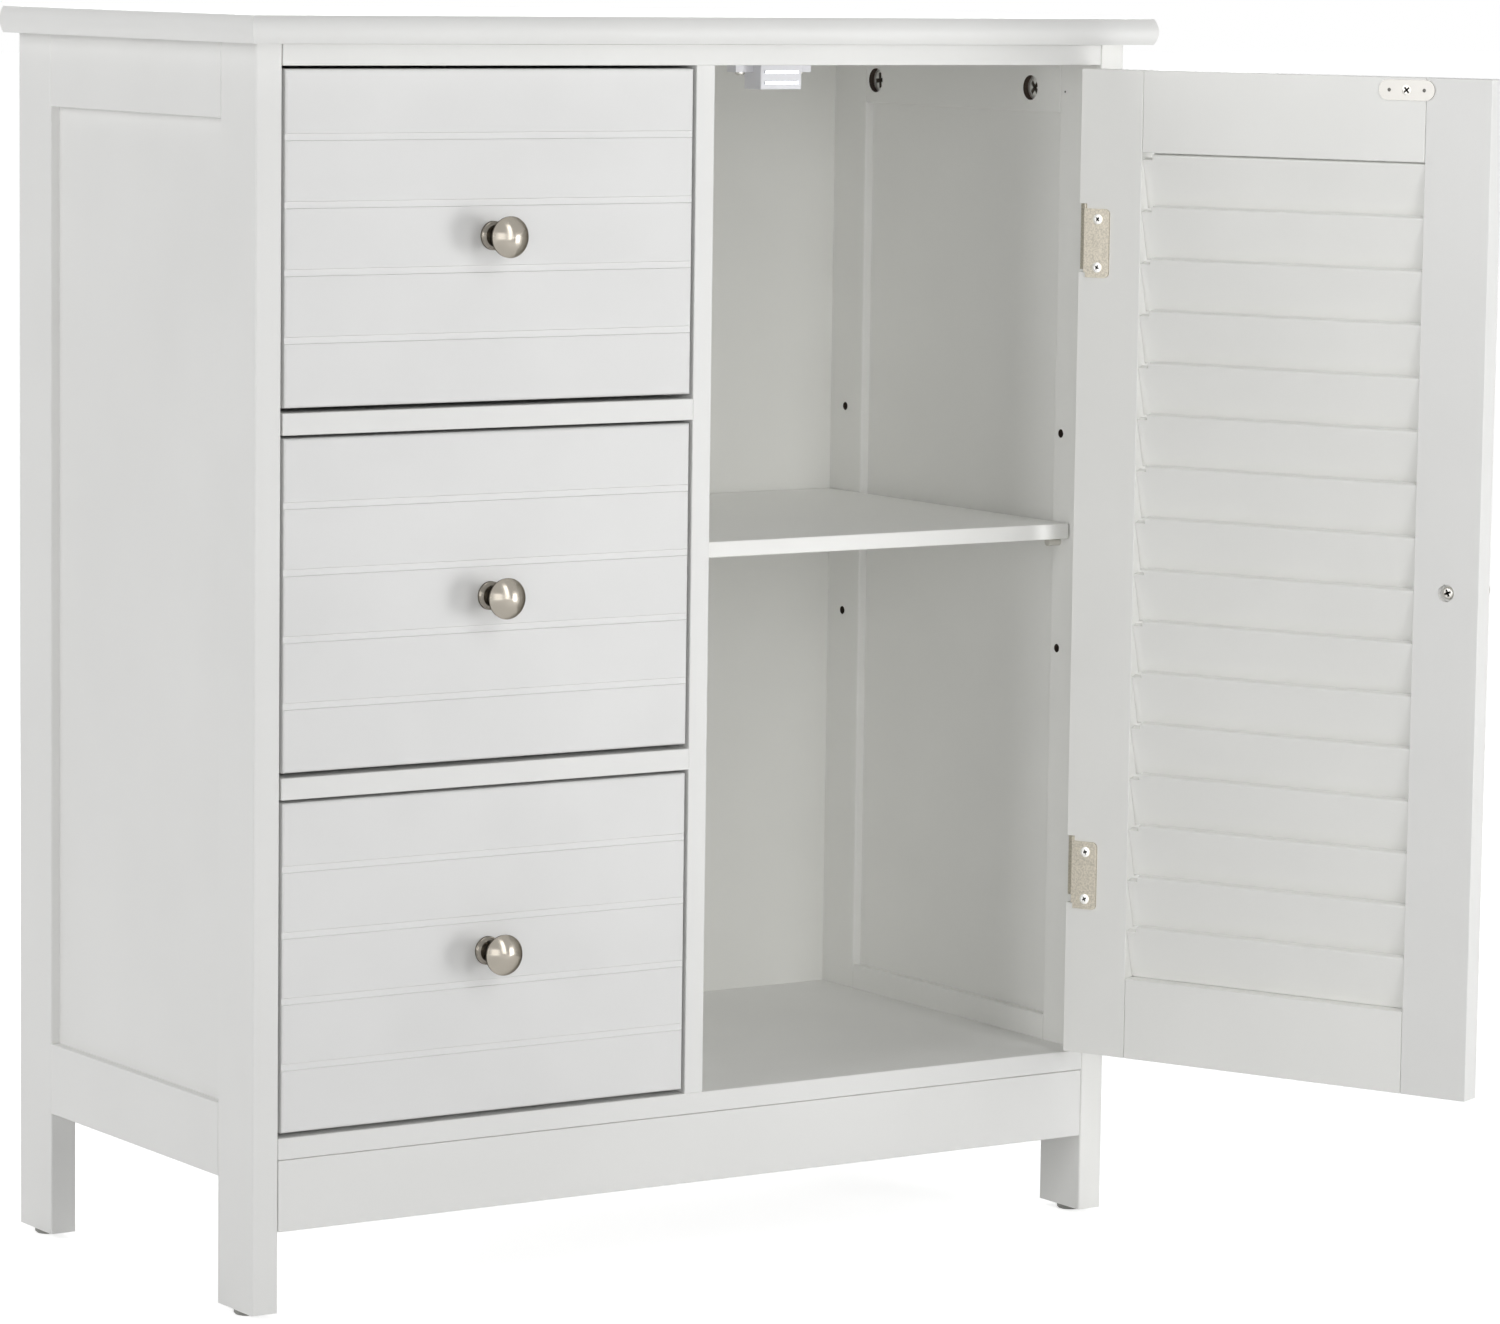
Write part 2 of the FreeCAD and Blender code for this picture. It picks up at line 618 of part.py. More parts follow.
def mortise_outline(tenon_top):
    low, high = f"-({SLAT_TALL} + mortise_clearance)", f"{tenon_top} + mortise_clearance"
    return [(f"-{MORTISE_HALF}", low), (MORTISE_HALF, low), (MORTISE_HALF, high), (f"-{MORTISE_HALF}", high)]


hinge_stile = board("door_hinge_stile", (STILE_EDGES[1], HINGE_EDGE), DOOR_Y, DOOR_Z, **DOOR)
latch_stile = board("door_latch_stile", (LATCH_EDGE, STILE_EDGES[0]), DOOR_Y, DOOR_Z, **DOOR)
for stile, edge_x, into_right, tenon_top in (
    (hinge_stile, STILE_EDGES[1], True, TENON_TOP),
    (latch_stile, STILE_EDGES[0], False, SLAT_TALL),
):
    mortise = stile.newObject("PartDesign::Pocket", f"{stile.Label}_mortise")
    mortise.Profile = lean(stile, edge_x, mortise_outline(tenon_top))
    mortise.Reversed = into_right
    bind(mortise, {"Length": "mortise_depth"})
    row_of(stile, [mortise], SLATS, SLAT_PITCH)
RAIL_ENDS = (f"{STILE_EDGES[0]} + joint_gap", f"{STILE_EDGES[1]} - joint_gap")
board("door_top_rail", RAIL_ENDS, DOOR_Y, (LOUVRE_Z[1], DOOR_Z[1]), **DOOR)
board("door_bottom_rail", RAIL_ENDS, DOOR_Y, (DOOR_Z[0], LOUVRE_Z[0]), **DOOR)
slats = new_body("louvre_slats", **DOOR)
slats.AllowCompound = True
slat = slats.newObject("PartDesign::Pad", "louvre_slat")
SLAT_ENDS = (f"({STILE_EDGES[0]} - mortise_depth + slat_clearance)",
             f"({STILE_EDGES[1]} + mortise_depth - slat_clearance)")
slat.Profile = lean(slats, SLAT_ENDS[0], ROUND_STRIP)
bind(slat, {"Length": f"{SLAT_ENDS[1]} - {SLAT_ENDS[0]}"})
shoulder = slats.newObject("PartDesign::Pocket", "slat_shoulder")
shoulder.Profile = lean(slats, SLAT_ENDS[1], SHOULDER)
bind(shoulder, {"Length": "mortise_depth - slat_clearance + shoulder_length"})
row_of(slats, [slat, shoulder], SLATS, SLAT_PITCH)
pieces["louvre_slats"] = slats
STRIKE_X = about(f"({CATCH_X} - {PIVOT[0]})", "strike_length")
strike = board(
    "strike_plate",
    STRIKE_X,
    (DOOR_Y[1], f"{DOOR_Y[1]} + strike_thickness"),
    about(f"({DOOR_Z[1]} - strike_drop)", "strike_height"),
    ease=None,
    **DOOR,
)
strike_face = value(DOOR_Y[1]) + value("strike_thickness") / 2
soften(strike, strike.Tip, "strike_height / 2 - leaf_thickness / 10", "Fillet",
       lambda middle: abs(middle.y - strike_face) < value("strike_thickness") / 4)

# Hinges: each frame leaf lies on the post, and each door leaf wraps from a notch in the stile's edge onto the
# door's inner face
frame_leaves, hinge_pins, door_leaves = [], [], []
for hinge_z in HINGE_Z:
    hinge_low, hinge_high = f"({hinge_z} - hinge_height / 2)", f"({hinge_z} + hinge_height / 2)"
    outer_knuckles = (
        (hinge_low, f"({hinge_low} + knuckle_length)"),
        (f"({hinge_high} - knuckle_length)", hinge_high),
    )
    middle_knuckle = (
        f"({hinge_low} + knuckle_length + knuckle_clearance)",
        f"({hinge_high} - knuckle_length - knuckle_clearance)",
    )
    leaf = new_body("frame_hinge_leaf", PIVOT)
    frame_face = "(door_gap_hinge / 2 + pivot_inset)"
    leaf_x = (f"{frame_face} - leaf_thickness", frame_face)
    leaf_from = "(knuckle_proud + knuckle_clearance)"
    block(leaf, leaf_x, (leaf_from, f"{leaf_from} + frame_leaf_width"), (hinge_low, hinge_high))
    for knuckle in outer_knuckles:
        block(leaf, ("0", frame_face), about("0", "leaf_thickness"), knuckle)
        block(leaf, leaf_x, ("-leaf_thickness / 2", leaf_from), knuckle)
        rod(leaf, "z", ("0", "0", knuckle[0]), "knuckle_radius", f"{knuckle[1]} - {knuckle[0]}")
    bore(leaf, "z", ("0", "0", hinge_low), "hinge_pin_radius + running_clearance", "hinge_height")
    for step in (-1, 1):
        bore(leaf, "x", (leaf_x[0], f"{leaf_from} + leaf_screw_inset",
                         f"{hinge_z} + {step} * leaf_screw_pitch / 2"), "leaf_screw_radius", "leaf_thickness")
    frame_leaves.append(leaf)

    hinge_pin = new_body("hinge_pin", PIVOT)
    rod(hinge_pin, "z", ("0", "0", hinge_low), "hinge_pin_radius", "hinge_height")
    hinge_pins.append(hinge_pin)

    wrap = new_body("door_hinge_leaf", **DOOR)
    slot(hinge_stile, (LEAF_EDGE, HINGE_EDGE), DOOR_Y,
         (f"{hinge_low} - knuckle_clearance", f"{hinge_high} + knuckle_clearance"))
    plate_x = (f"{LEAF_EDGE} - door_leaf_width", LEAF_EDGE)
    plate_y = (DOOR_Y[1], f"({DOOR_Y[1]} + leaf_thickness)")
    plate = block(wrap, plate_x, plate_y, about(f"({hinge_z} - door_leaf_drop)", "door_leaf_height"))
    outer_edge = value(plate_x[0])
    plate_middle = value(hinge_z) - value("door_leaf_drop")
    soften(wrap, plate, "leaf_corner", "Fillet", lambda middle: abs(middle.x - outer_edge) < 0.1 * value(
        "door_leaf_width") and abs(middle.z - plate_middle) > 0.4 * value("door_leaf_height"))
    edge_x = (LEAF_EDGE, f"({LEAF_EDGE} + leaf_thickness)")
    block(wrap, edge_x, (leaf_from, plate_y[1]), (hinge_low, hinge_high))
    block(wrap, (LEAF_EDGE, "0"), about("0", "leaf_thickness"), middle_knuckle)
    block(wrap, edge_x, ("-leaf_thickness / 2", leaf_from), middle_knuckle)
    middle_length = f"{middle_knuckle[1]} - {middle_knuckle[0]}"
    rod(wrap, "z", ("0", "0", middle_knuckle[0]), "knuckle_radius", middle_length)
    bore(wrap, "z", ("0", "0", hinge_low), "hinge_pin_radius + running_clearance", "hinge_height")
    for step in (-1, 1):
        bore(wrap, "y", (f"{LEAF_EDGE} - leaf_screw_inset", plate_y[0],
                         f"{hinge_z} - door_leaf_drop + {step} * leaf_screw_pitch / 2"),
             "leaf_screw_radius", "leaf_thickness")
    door_leaves.append(wrap)
group("frame_hinge_leaves", frame_leaves)
group("hinge_pins", hinge_pins)
group("door_hinge_leaves", door_leaves)


# Knobs: turned metal mushrooms on a small rosette
def knob(label, face_at, at=("0", "0", "0"), turn=None):
    """A knob whose rosette sits on a face at a point, with its head towards -Y. Its neck opens with the square
    of the way to the rim, and its dome is part of a ball."""
    made = new_body(label, at, turn)
    rim = "(knob_length - knob_dome)"
    foot = "(knob_base_height + knob_base_cone)"
    throat = f"({rim} - knob_rim - {foot})"
    flare = "(knob_head_radius - knob_rim / 2 - knob_neck_radius)"
    ball = "((knob_head_radius ^ 2 + knob_dome ^ 2) / (2 * knob_dome))"
    steps = [step / KNOB_STEPS for step in range(KNOB_STEPS + 1)]
    neck = [(f"knob_neck_radius + {flare} * {way ** 2}", f"-({foot} + {throat} * {way})") for way in steps]
    turns = [f"(asin(knob_head_radius / {ball}) * {1 - way})" for way in steps[:-1]]
    dome = [(f"{ball} * sin({turn})", f"-(knob_length - {ball} + {ball} * cos({turn}))") for turn in turns]
    turned(made, "y", face_at, [
        ("0", "0"),
        ("knob_base_radius", "0"),
        ("knob_base_radius", "-knob_base_height"),
        ("knob_base_radius - knob_base_cone", f"-{foot}"),
        *neck,
        *dome,
        ("0", "-knob_length"),
    ])
    pieces[label] = made


KNOB_X = f"({LATCH_EDGE} + stile_width / 2)"
KNOB_Z = f"(({DOOR_Z[0]} + {DOOR_Z[1]}) / 2)"
bore(latch_stile, "y", (KNOB_X, DOOR_Y[0], KNOB_Z), "knob_screw_radius", "door_thickness")
bore(latch_stile, "y", (KNOB_X, f"{DOOR_Y[1]} - counterbore_depth", KNOB_Z), "counterbore_radius",
     "counterbore_depth")
knob("door_knob", (KNOB_X, DOOR_Y[0], KNOB_Z), **DOOR)


# Drawers: grooved front, plain box with a thin tray in grooves, and steel slides with plastic rollers
def roller(middle_y, middle_z, wall, inward, radius):
    """A plastic wheel, bored to run on its axle."""
    made = new_body("roller")
    bore_radius = "axle_radius + running_clearance"
    low = across(wall, inward, "roller_inset", "(roller_inset + roller_width)")[0]
    turned(made, "x", (low, middle_y, middle_z), [
        (bore_radius, "0"),
        (radius, "0"),
        (radius, "roller_width"),
        (bore_radius, "roller_width"),
    ])
    return made


channels = []
WALLS = ((INNER_LEFT, 1), (BAY_RIGHT, -1))
FRONT_BACK = f"({FRONT} + front_thickness)"
BOX_REAR = f"({BACK_FACE} - box_rear_gap)"
CHANNEL_Y = (f"({FRONT} + channel_setback)", f"({BACK_FACE} - channel_rear_gap)")
FRONT_AXLE_Y = f"({CHANNEL_Y[0]} + front_roller_inset)"
REAR_AXLE_Y = f"({BOX_REAR} - rear_roller_inset)"
for number, name in enumerate(DRAWERS):
    slide_low = f"({bay_floor(number)} + slide_rise)"
    slide_high = f"({slide_low} + channel_height)"
    flange_low = f"({slide_high} + flange_lift)"
    box_low = f"({slide_low} - flange_lift)"
    front_axle_z = f"({flange_low} - roller_gap - front_roller_radius)"
    rear_axle_z = f"({slide_low} + channel_height / 2)"
    box_x = [across(wall, inward, "slide_space", "(slide_space + box_board)") for wall, inward in WALLS]
    inside_x = (box_x[0][1], box_x[1][0])
    tray_x = (f"{inside_x[0]} - tray_seat", f"{inside_x[1]} + tray_seat")
    tray_z = (f"({box_low} + tray_rise)", f"({box_low} + tray_rise + tray_thickness)")
    box_high = f"({box_low} + box_height)"

    front_z = (f"({bay_floor(number)} + front_gap_bottom)",
               f"({bay_floor(number)} + {BAY_HEIGHT} - front_gap_top)")
    front = board(
        f"{name}_drawer_front",
        (f"{INNER_LEFT} + front_gap_side", f"{BAY_RIGHT} - front_gap_side"),
        (FRONT, FRONT_BACK),
        front_z,
        ease=None,
    )
    soften(front, front.Tip, "front_round", "Fillet", lambda middle: middle.y < value(FRONT) + FACE_REACH)
    slot(front, tray_x, (f"{FRONT_BACK} - tray_seat", FRONT_BACK), tray_z)
    band = f"(({front_z[1]} - {front_z[0]}) / {BANDS})"
    first_groove = f"({front_z[1]} - {band})"
    groove = front.newObject("PartDesign::Pocket", f"{front.Label}_groove")
    groove.Profile = section(front, "YZ_Plane", ("0", "0", "0"), [
        (f"{FRONT} - groove_depth", f"{first_groove} - groove_width / 2 - groove_depth / 2"),
        (f"{FRONT} + groove_depth", f"{first_groove} - groove_width / 2 + groove_depth / 2"),
        (f"{FRONT} + groove_depth", f"{first_groove} + groove_width / 2 - groove_depth / 2"),
        (f"{FRONT} - groove_depth", f"{first_groove} + groove_width / 2 + groove_depth / 2"),
    ])
    groove.Type = "ThroughAll"
    groove.SideType = "Symmetric"
    row_of(front, [groove], BANDS - 1, band)

    drawer_sides, drawer_slides, front_rollers, rear_rollers = [], [], [], []
    for (wall, inward), side_x in zip(WALLS, box_x):
        side = new_body(f"{name}_drawer_side")
        soften(side, block(side, side_x, (FRONT_BACK, BOX_REAR), (box_low, box_high)), "arris")
        seat_x = across(wall, inward, "(slide_space + box_board - tray_seat)", "(slide_space + box_board)")
        slot(side, seat_x, (FRONT_BACK, BOX_REAR), tray_z)
        drawer_sides.append(side)

        member = new_body(f"{name}_drawer_slide")
        web_near, web_far = "(slide_space - slide_wall)", "slide_space"
        block(member, across(wall, inward, web_near, web_far), (FRONT_BACK, BOX_REAR),
              (f"{box_low} - slide_wall", f"{flange_low} + slide_wall"))
        block(member, across(wall, inward, web_near, "(slide_space + box_board)"), (FRONT_BACK, BOX_REAR),
              (f"{box_low} - slide_wall", box_low))
        block(member, across(wall, inward, "(slide_space - flange_reach)", web_far), (FRONT_BACK, BOX_REAR),
              (flange_low, f"{flange_low} + slide_wall"))
        axle_x = across(wall, inward, "roller_inset", web_near)
        rod(member, "x", (axle_x[0], REAR_AXLE_Y, rear_axle_z), "axle_radius", f"{axle_x[1]} - {axle_x[0]}")
        drawer_slides.append(member)
        rear_rollers.append(roller(REAR_AXLE_Y, rear_axle_z, wall, inward, "rear_roller_radius"))

        channel = new_body("cabinet_slide")
        block(channel, across(wall, inward, "0", "slide_wall"), CHANNEL_Y, (slide_low, slide_high))
        block(channel, across(wall, inward, "0", "channel_width"), CHANNEL_Y,
              (slide_low, f"{slide_low} + slide_wall"))
        lid_from = f"{FRONT_AXLE_Y} + front_roller_radius + 4 * roller_gap"
        block(channel, across(wall, inward, "0", "channel_width"), (lid_from, CHANNEL_Y[1]),
              (f"{slide_high} - slide_wall", slide_high))
        axle_far = "(roller_inset + roller_width + roller_gap)"
        for reach, radius in ((("0", f"({axle_far} + axle_head)"), "axle_radius"),
                              ((axle_far, f"({axle_far} + axle_head)"), "axle_head_radius")):
            axle_x = across(wall, inward, *reach)
            rod(channel, "x", (axle_x[0], FRONT_AXLE_Y, front_axle_z), radius, f"{axle_x[1]} - {axle_x[0]}")
        channels.append(channel)
        front_rollers.append(roller(FRONT_AXLE_Y, front_axle_z, wall, inward, "front_roller_radius"))
    group(f"{name}_drawer_sides", drawer_sides)
    group(f"{name}_drawer_slides", drawer_slides)
    group(f"{name}_front_rollers", front_rollers)
    group(f"{name}_rear_rollers", rear_rollers)
    board(f"{name}_drawer_back", inside_x, (f"{BOX_REAR} - box_board", BOX_REAR), (tray_z[1], box_high))
    board(f"{name}_drawer_tray", tray_x, (f"{FRONT_BACK} - tray_seat", BOX_REAR), tray_z, ease=None)
    front_middle = (f"(({INNER_LEFT} + {BAY_RIGHT}) / 2)", FRONT, f"(({front_z[0]} + {front_z[1]}) / 2)")
    knob(f"{name}_drawer_knob", front_middle)
group("cabinet_slides", channels)

# Every feature has to have worked before anything is written
doc.recompute()
failed = [item.Name for item in doc.Objects if {"Invalid", "Error"} & set(item.State)]
broken = [label for label, made in pieces.items() if made.Shape.isNull() or not made.Shape.isValid()]
if failed or broken:
    raise SystemExit(f"failed features {failed}, broken pieces {broken}")
os.makedirs("parts", exist_ok=True)
for label, made in pieces.items():
    made.Shape.exportStep(f"parts/{label}.step")
print(len(pieces), "pieces,", sum(len(made.Shape.Solids) for made in pieces.values()), "solids")
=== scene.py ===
import math

import bpy
import numpy as np
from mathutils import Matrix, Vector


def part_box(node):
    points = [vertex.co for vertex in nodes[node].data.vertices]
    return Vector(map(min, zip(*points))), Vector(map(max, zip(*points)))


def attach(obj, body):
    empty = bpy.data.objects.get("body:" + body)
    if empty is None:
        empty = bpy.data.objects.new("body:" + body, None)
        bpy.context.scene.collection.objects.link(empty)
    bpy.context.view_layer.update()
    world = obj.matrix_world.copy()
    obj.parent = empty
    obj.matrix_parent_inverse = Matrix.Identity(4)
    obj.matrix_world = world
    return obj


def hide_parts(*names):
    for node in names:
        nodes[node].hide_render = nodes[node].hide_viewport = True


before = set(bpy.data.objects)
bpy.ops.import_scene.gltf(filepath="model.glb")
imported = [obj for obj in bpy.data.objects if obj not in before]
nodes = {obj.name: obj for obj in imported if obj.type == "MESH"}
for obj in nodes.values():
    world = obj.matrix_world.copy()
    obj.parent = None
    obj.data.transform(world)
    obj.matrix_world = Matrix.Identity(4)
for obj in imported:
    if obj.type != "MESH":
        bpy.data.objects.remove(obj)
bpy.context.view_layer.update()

MM = 0.001

# Framed sides: on each side two posts, which run down as legs, two rails and a thin panel in grooves.
# Solid pine, glued up, then sprayed with white satin lacquer, so the grain shows only as a faint relief.
# The right side is given a slightly whiter copy of the lacquer than the left, as painted light where more light
# falls.
GRAIN_WIDTH, GRAIN_LENGTH = 5 * MM, 190 * MM
UPRIGHT = (GRAIN_WIDTH, GRAIN_WIDTH, GRAIN_LENGTH)
LEVEL = (GRAIN_LENGTH, GRAIN_WIDTH, GRAIN_WIDTH)
FRONT_TO_BACK = (GRAIN_WIDTH, GRAIN_LENGTH, GRAIN_WIDTH)
WHITE_LACQUER = ("#EFEFED", "#ECECEA")
PAINTED_LIGHT_LACQUER = ("#F8F8F5", "#F5F5F2")
PEEL_SIZE, DRIFT_SIZE, RELIEF = 2.5 * MM, 90 * MM, 0.15 * MM


def linear(hex_colour):
    """sRGB hex to linear RGBA: a channel is divided by 12.92 near black, else shifted and raised to 2.4."""
    srgb = np.array([int(hex_colour[start:start + 2], 16) for start in (1, 3, 5)]) / 255
    channels = np.where(srgb <= 0.04045, srgb / 12.92, ((srgb + 0.055) / 1.055) ** 2.4)
    return (*channels.tolist(), 1.0)


def add(tree, kind, inputs=(), **settings):
    """Adds a node: settings are its own properties, inputs are socket values or (node, output) links."""
    made = tree.nodes.new("ShaderNode" + kind)
    for name, setting in settings.items():
        setattr(made, name, setting)
    for socket, source in dict(inputs).items():
        if isinstance(source, tuple) and isinstance(source[0], bpy.types.Node):
            tree.links.new(source[0].outputs[source[1]], made.inputs[socket])
        else:
            made.inputs[socket].default_value = source
    return made


def blank(name):
    """A new material with an empty node tree."""
    material = bpy.data.materials.new(name)
    material.use_nodes = True
    material.node_tree.nodes.clear()
    return material, material.node_tree


def lacquered(name, tones, grain, turn=0.0):
    """Sprayed satin lacquer on wood. It gives the eye a soft broad gloss, a slow drift of tone over a hand's
    width, the grain as a faint relief and orange peel. The peel is drawn at 2.5 mm, coarser than real, to show.
    Grain is a fibre's size along x, y and z, and turn is the board's turn about z."""
    material, tree = blank(name)
    place = (add(tree, "TexCoord"), "Object")
    board = add(tree, "Mapping", {"Vector": place, "Rotation": (0.0, 0.0, turn), "Scale": grain},
                vector_type="TEXTURE")
    fibres = add(tree, "TexNoise", {"Vector": (board, "Vector"), "Scale": 1.0, "Detail": 4.0,
                                    "Distortion": 0.4})
    peel = add(tree, "TexNoise", {"Vector": place, "Scale": 1 / PEEL_SIZE, "Detail": 1.0})
    drift = add(tree, "TexNoise", {"Vector": place, "Scale": 1 / DRIFT_SIZE, "Detail": 2.0})
    tone = add(tree, "ValToRGB", {"Fac": (drift, "Fac")})
    for element, position, colour in zip(tone.color_ramp.elements, (0.3, 0.7), tones):
        element.position = position
        element.color = linear(colour)
    gloss = add(tree, "MapRange", {"Value": (fibres, "Fac"), "To Min": 0.36, "To Max": 0.48})
    ridges = add(tree, "Bump", {"Height": (fibres, "Fac"), "Strength": 0.06, "Distance": RELIEF})
    skin = add(tree, "Bump", {"Height": (peel, "Fac"), "Normal": (ridges, "Normal"), "Strength": 0.03,
                              "Distance": RELIEF})
    shader = add(tree, "BsdfPrincipled", {"Base Color": (tone, "Color"), "Roughness": (gloss, "Result"),
                                          "Normal": (skin, "Normal"), "IOR": 1.5})
    add(tree, "OutputMaterial", {"Surface": (shader, "BSDF")})
    return material


def finish_nodes(material, *names):
    """Gives solids of the frame their finish."""
    for name in names:
        for slot in nodes[name].material_slots:
            slot.material = material


upright_lacquer = lacquered("white_lacquer_on_pine_upright", WHITE_LACQUER, UPRIGHT)
level_lacquer = lacquered("white_lacquer_on_pine_level", WHITE_LACQUER, LEVEL)
deep_lacquer = lacquered("white_lacquer_on_pine_front_to_back", WHITE_LACQUER, FRONT_TO_BACK)
painted_light_upright_lacquer = lacquered("white_lacquer_with_painted_light_on_pine_upright", PAINTED_LIGHT_LACQUER, UPRIGHT)
painted_light_level_lacquer = lacquered("white_lacquer_with_painted_light_on_pine_level", PAINTED_LIGHT_LACQUER, LEVEL)
painted_light_deep_lacquer = lacquered("white_lacquer_with_painted_light_on_pine_front_to_back", PAINTED_LIGHT_LACQUER, FRONT_TO_BACK)
finish_nodes(upright_lacquer, "front_left_post", "rear_left_post", "left_side_panel")
finish_nodes(deep_lacquer, "left_top_rail", "left_bottom_rail")
finish_nodes(painted_light_upright_lacquer, "front_right_post", "rear_right_post", "right_side_panel")
finish_nodes(painted_light_deep_lacquer, "right_top_rail", "right_bottom_rail")

# Inner carcass: front top rail, floor, apron, upright divider and the rails between the drawers.
# Pine boards with eased edges, dowelled and glued between the sides and lacquered with them.
finish_nodes(level_lacquer, "front_top_rail", "bottom_panel", "front_apron", "upper_drawer_rail",
             "lower_drawer_rail")
finish_nodes(upright_lacquer, "centre_divider")

# Top: one pine board with round front and end edges, lacquered like the carcass.
# The bolts of the cam locks draw it down onto the side rails.
finish_nodes(level_lacquer, "top_panel")

# Cam locks: die-cast zinc drums let into the side rails' inner faces, in bores that leave the raw pine bare,
# drawn dark brown as painted shade in the bores.
# A screwdriver turns each by its cross and pulls down the bolt that stands in the top.
CAM_RADIUS, CAM_FACE, CAM_HEIGHT = 7.3 * MM, 275.6 * MM, 668 * MM
CAM_DEPTHS = (-71 * MM, 91 * MM)
MOTTLE_GRAIN, MARK_GAP, MARK_LENGTH = 1 * MM, 0.6 * MM, 9 * MM
CROSS_DEPTH, CROSS_SOFT, LINING_FLOOR = 0.8, 0.08, 0.1
TINY = 1e-9


def plated(name, clean, mottle_and_shade_tone, roughness, brush=0.0, mottle=0.0, lathe_marks=0.0, edge="#FFFFFF"):
    """Plated metal: mirror-like but satin, with fine brush marks where brush is their depth in metres, drawn
    0.6 mm apart so that they show. It is mottled by 1 mm grains, and drawn dark as painted shade where a
    value stored on the surface says that it lies in a recess. Where it was polished on a lathe, its gloss is
    drawn out across the marks, and edge is the tint of what it mirrors at a slant."""
    material, tree = blank(name)
    place = (add(tree, "TexCoord"), "Object")
    pit = add(tree, "Attribute", attribute_name="pit")
    grains = add(tree, "TexNoise", {"Vector": place, "Scale": 1 / MOTTLE_GRAIN, "Detail": 2.0})
    flecks = add(tree, "MapRange", {"Value": (grains, "Fac"), "From Min": 0.38, "From Max": 0.68,
                                    "To Max": mottle})
    # Painted shade: the recess value adds to the mottle and draws the colour towards the dark tone.
    mottle_and_shade = add(tree, "Math", {0: (flecks, "Result"), 1: (pit, "Fac")}, operation="ADD")
    tone = add(tree, "ValToRGB", {"Fac": (mottle_and_shade, "Value")})
    for element, colour in zip(tone.color_ramp.elements, (clean, mottle_and_shade_tone)):
        element.color = linear(colour)
    marks = add(tree, "Mapping", {"Vector": place, "Scale": (MARK_GAP, MARK_GAP, MARK_LENGTH)},
                vector_type="TEXTURE")
    scratches = add(tree, "TexNoise", {"Vector": (marks, "Vector"), "Scale": 1.0, "Detail": 2.0})
    gloss = add(tree, "MapRange", {"Value": (scratches, "Fac"), "To Min": roughness - 0.05,
                                   "To Max": roughness + 0.07})
    skin = add(tree, "Bump", {"Height": (scratches, "Fac"), "Strength": 0.2, "Distance": brush})
    shader = add(tree, "BsdfPrincipled", {"Base Color": (tone, "Color"), "Metallic": 1.0,
                                          "Roughness": (gloss, "Result"), "Normal": (skin, "Normal"),
                                          "Anisotropic": lathe_marks, "Specular Tint": linear(edge)})
    if lathe_marks:
        way = add(tree, "Attribute", attribute_name="way")
        drawn = add(tree, "VectorTransform", {"Vector": (way, "Vector")}, convert_from="OBJECT",
                    convert_to="WORLD")
        tree.links.new(drawn.outputs["Vector"], shader.inputs["Tangent"])
    add(tree, "OutputMaterial", {"Surface": (shader, "BSDF")})
    return material


def moulded(name, colour, roughness, ior, texture, relief, clear=0.0):
    """Moulded plastic, powder coat or drilled wood: an even skin whose fine texture has the given size and
    height. Light goes a little way into the clearer plastics."""
    material, tree = blank(name)
    place = (add(tree, "TexCoord"), "Object")
    grit = add(tree, "TexNoise", {"Vector": place, "Scale": 1 / texture, "Detail": 2.0})
    gloss = add(tree, "MapRange", {"Value": (grit, "Fac"), "To Min": roughness - 0.05,
                                   "To Max": roughness + 0.05})
    skin = add(tree, "Bump", {"Height": (grit, "Fac"), "Strength": 0.15, "Distance": relief})
    shader = add(tree, "BsdfPrincipled", {"Base Color": linear(colour), "Roughness": (gloss, "Result"),
                                          "IOR": ior, "Normal": (skin, "Normal"),
                                          "Subsurface Weight": clear,
                                          "Subsurface Radius": (2 * MM, 2 * MM, 2 * MM)})
    add(tree, "OutputMaterial", {"Surface": (shader, "BSDF")})
    return material


def lathe_grid(profile, around):
    """A profile of (radius, height) rows turned about z: x, y are the radius by the angle's cosine and sine."""
    angles = np.arange(around) * 2 * np.pi / around
    radius, height = profile[:, :1], profile[:, 1:]
    return np.stack((radius * np.cos(angles), radius * np.sin(angles), height + 0 * angles), axis=-1)


def stamped(grid, at, out, roll=0.0):
    """Copies of a grid at several points: its z goes along out, its y up, and it is rolled about out."""
    at = np.atleast_2d(np.array(at, float))
    out = np.broadcast_to(np.array(out, float), at.shape)
    up = np.where(np.abs(out[:, 2:]) < 0.5, (0.0, 0.0, 1.0), (0.0, 1.0, 0.0))
    side = np.cross(up, out)
    roll = np.broadcast_to(np.array(roll, float), len(at))[:, None]
    across, upward = side * np.cos(roll) + up * np.sin(roll), up * np.cos(roll) - side * np.sin(roll)
    axes = np.stack((across, upward, out), axis=1)
    return at[:, None, None] + np.einsum("rak,nkc->nrac", grid, axes)


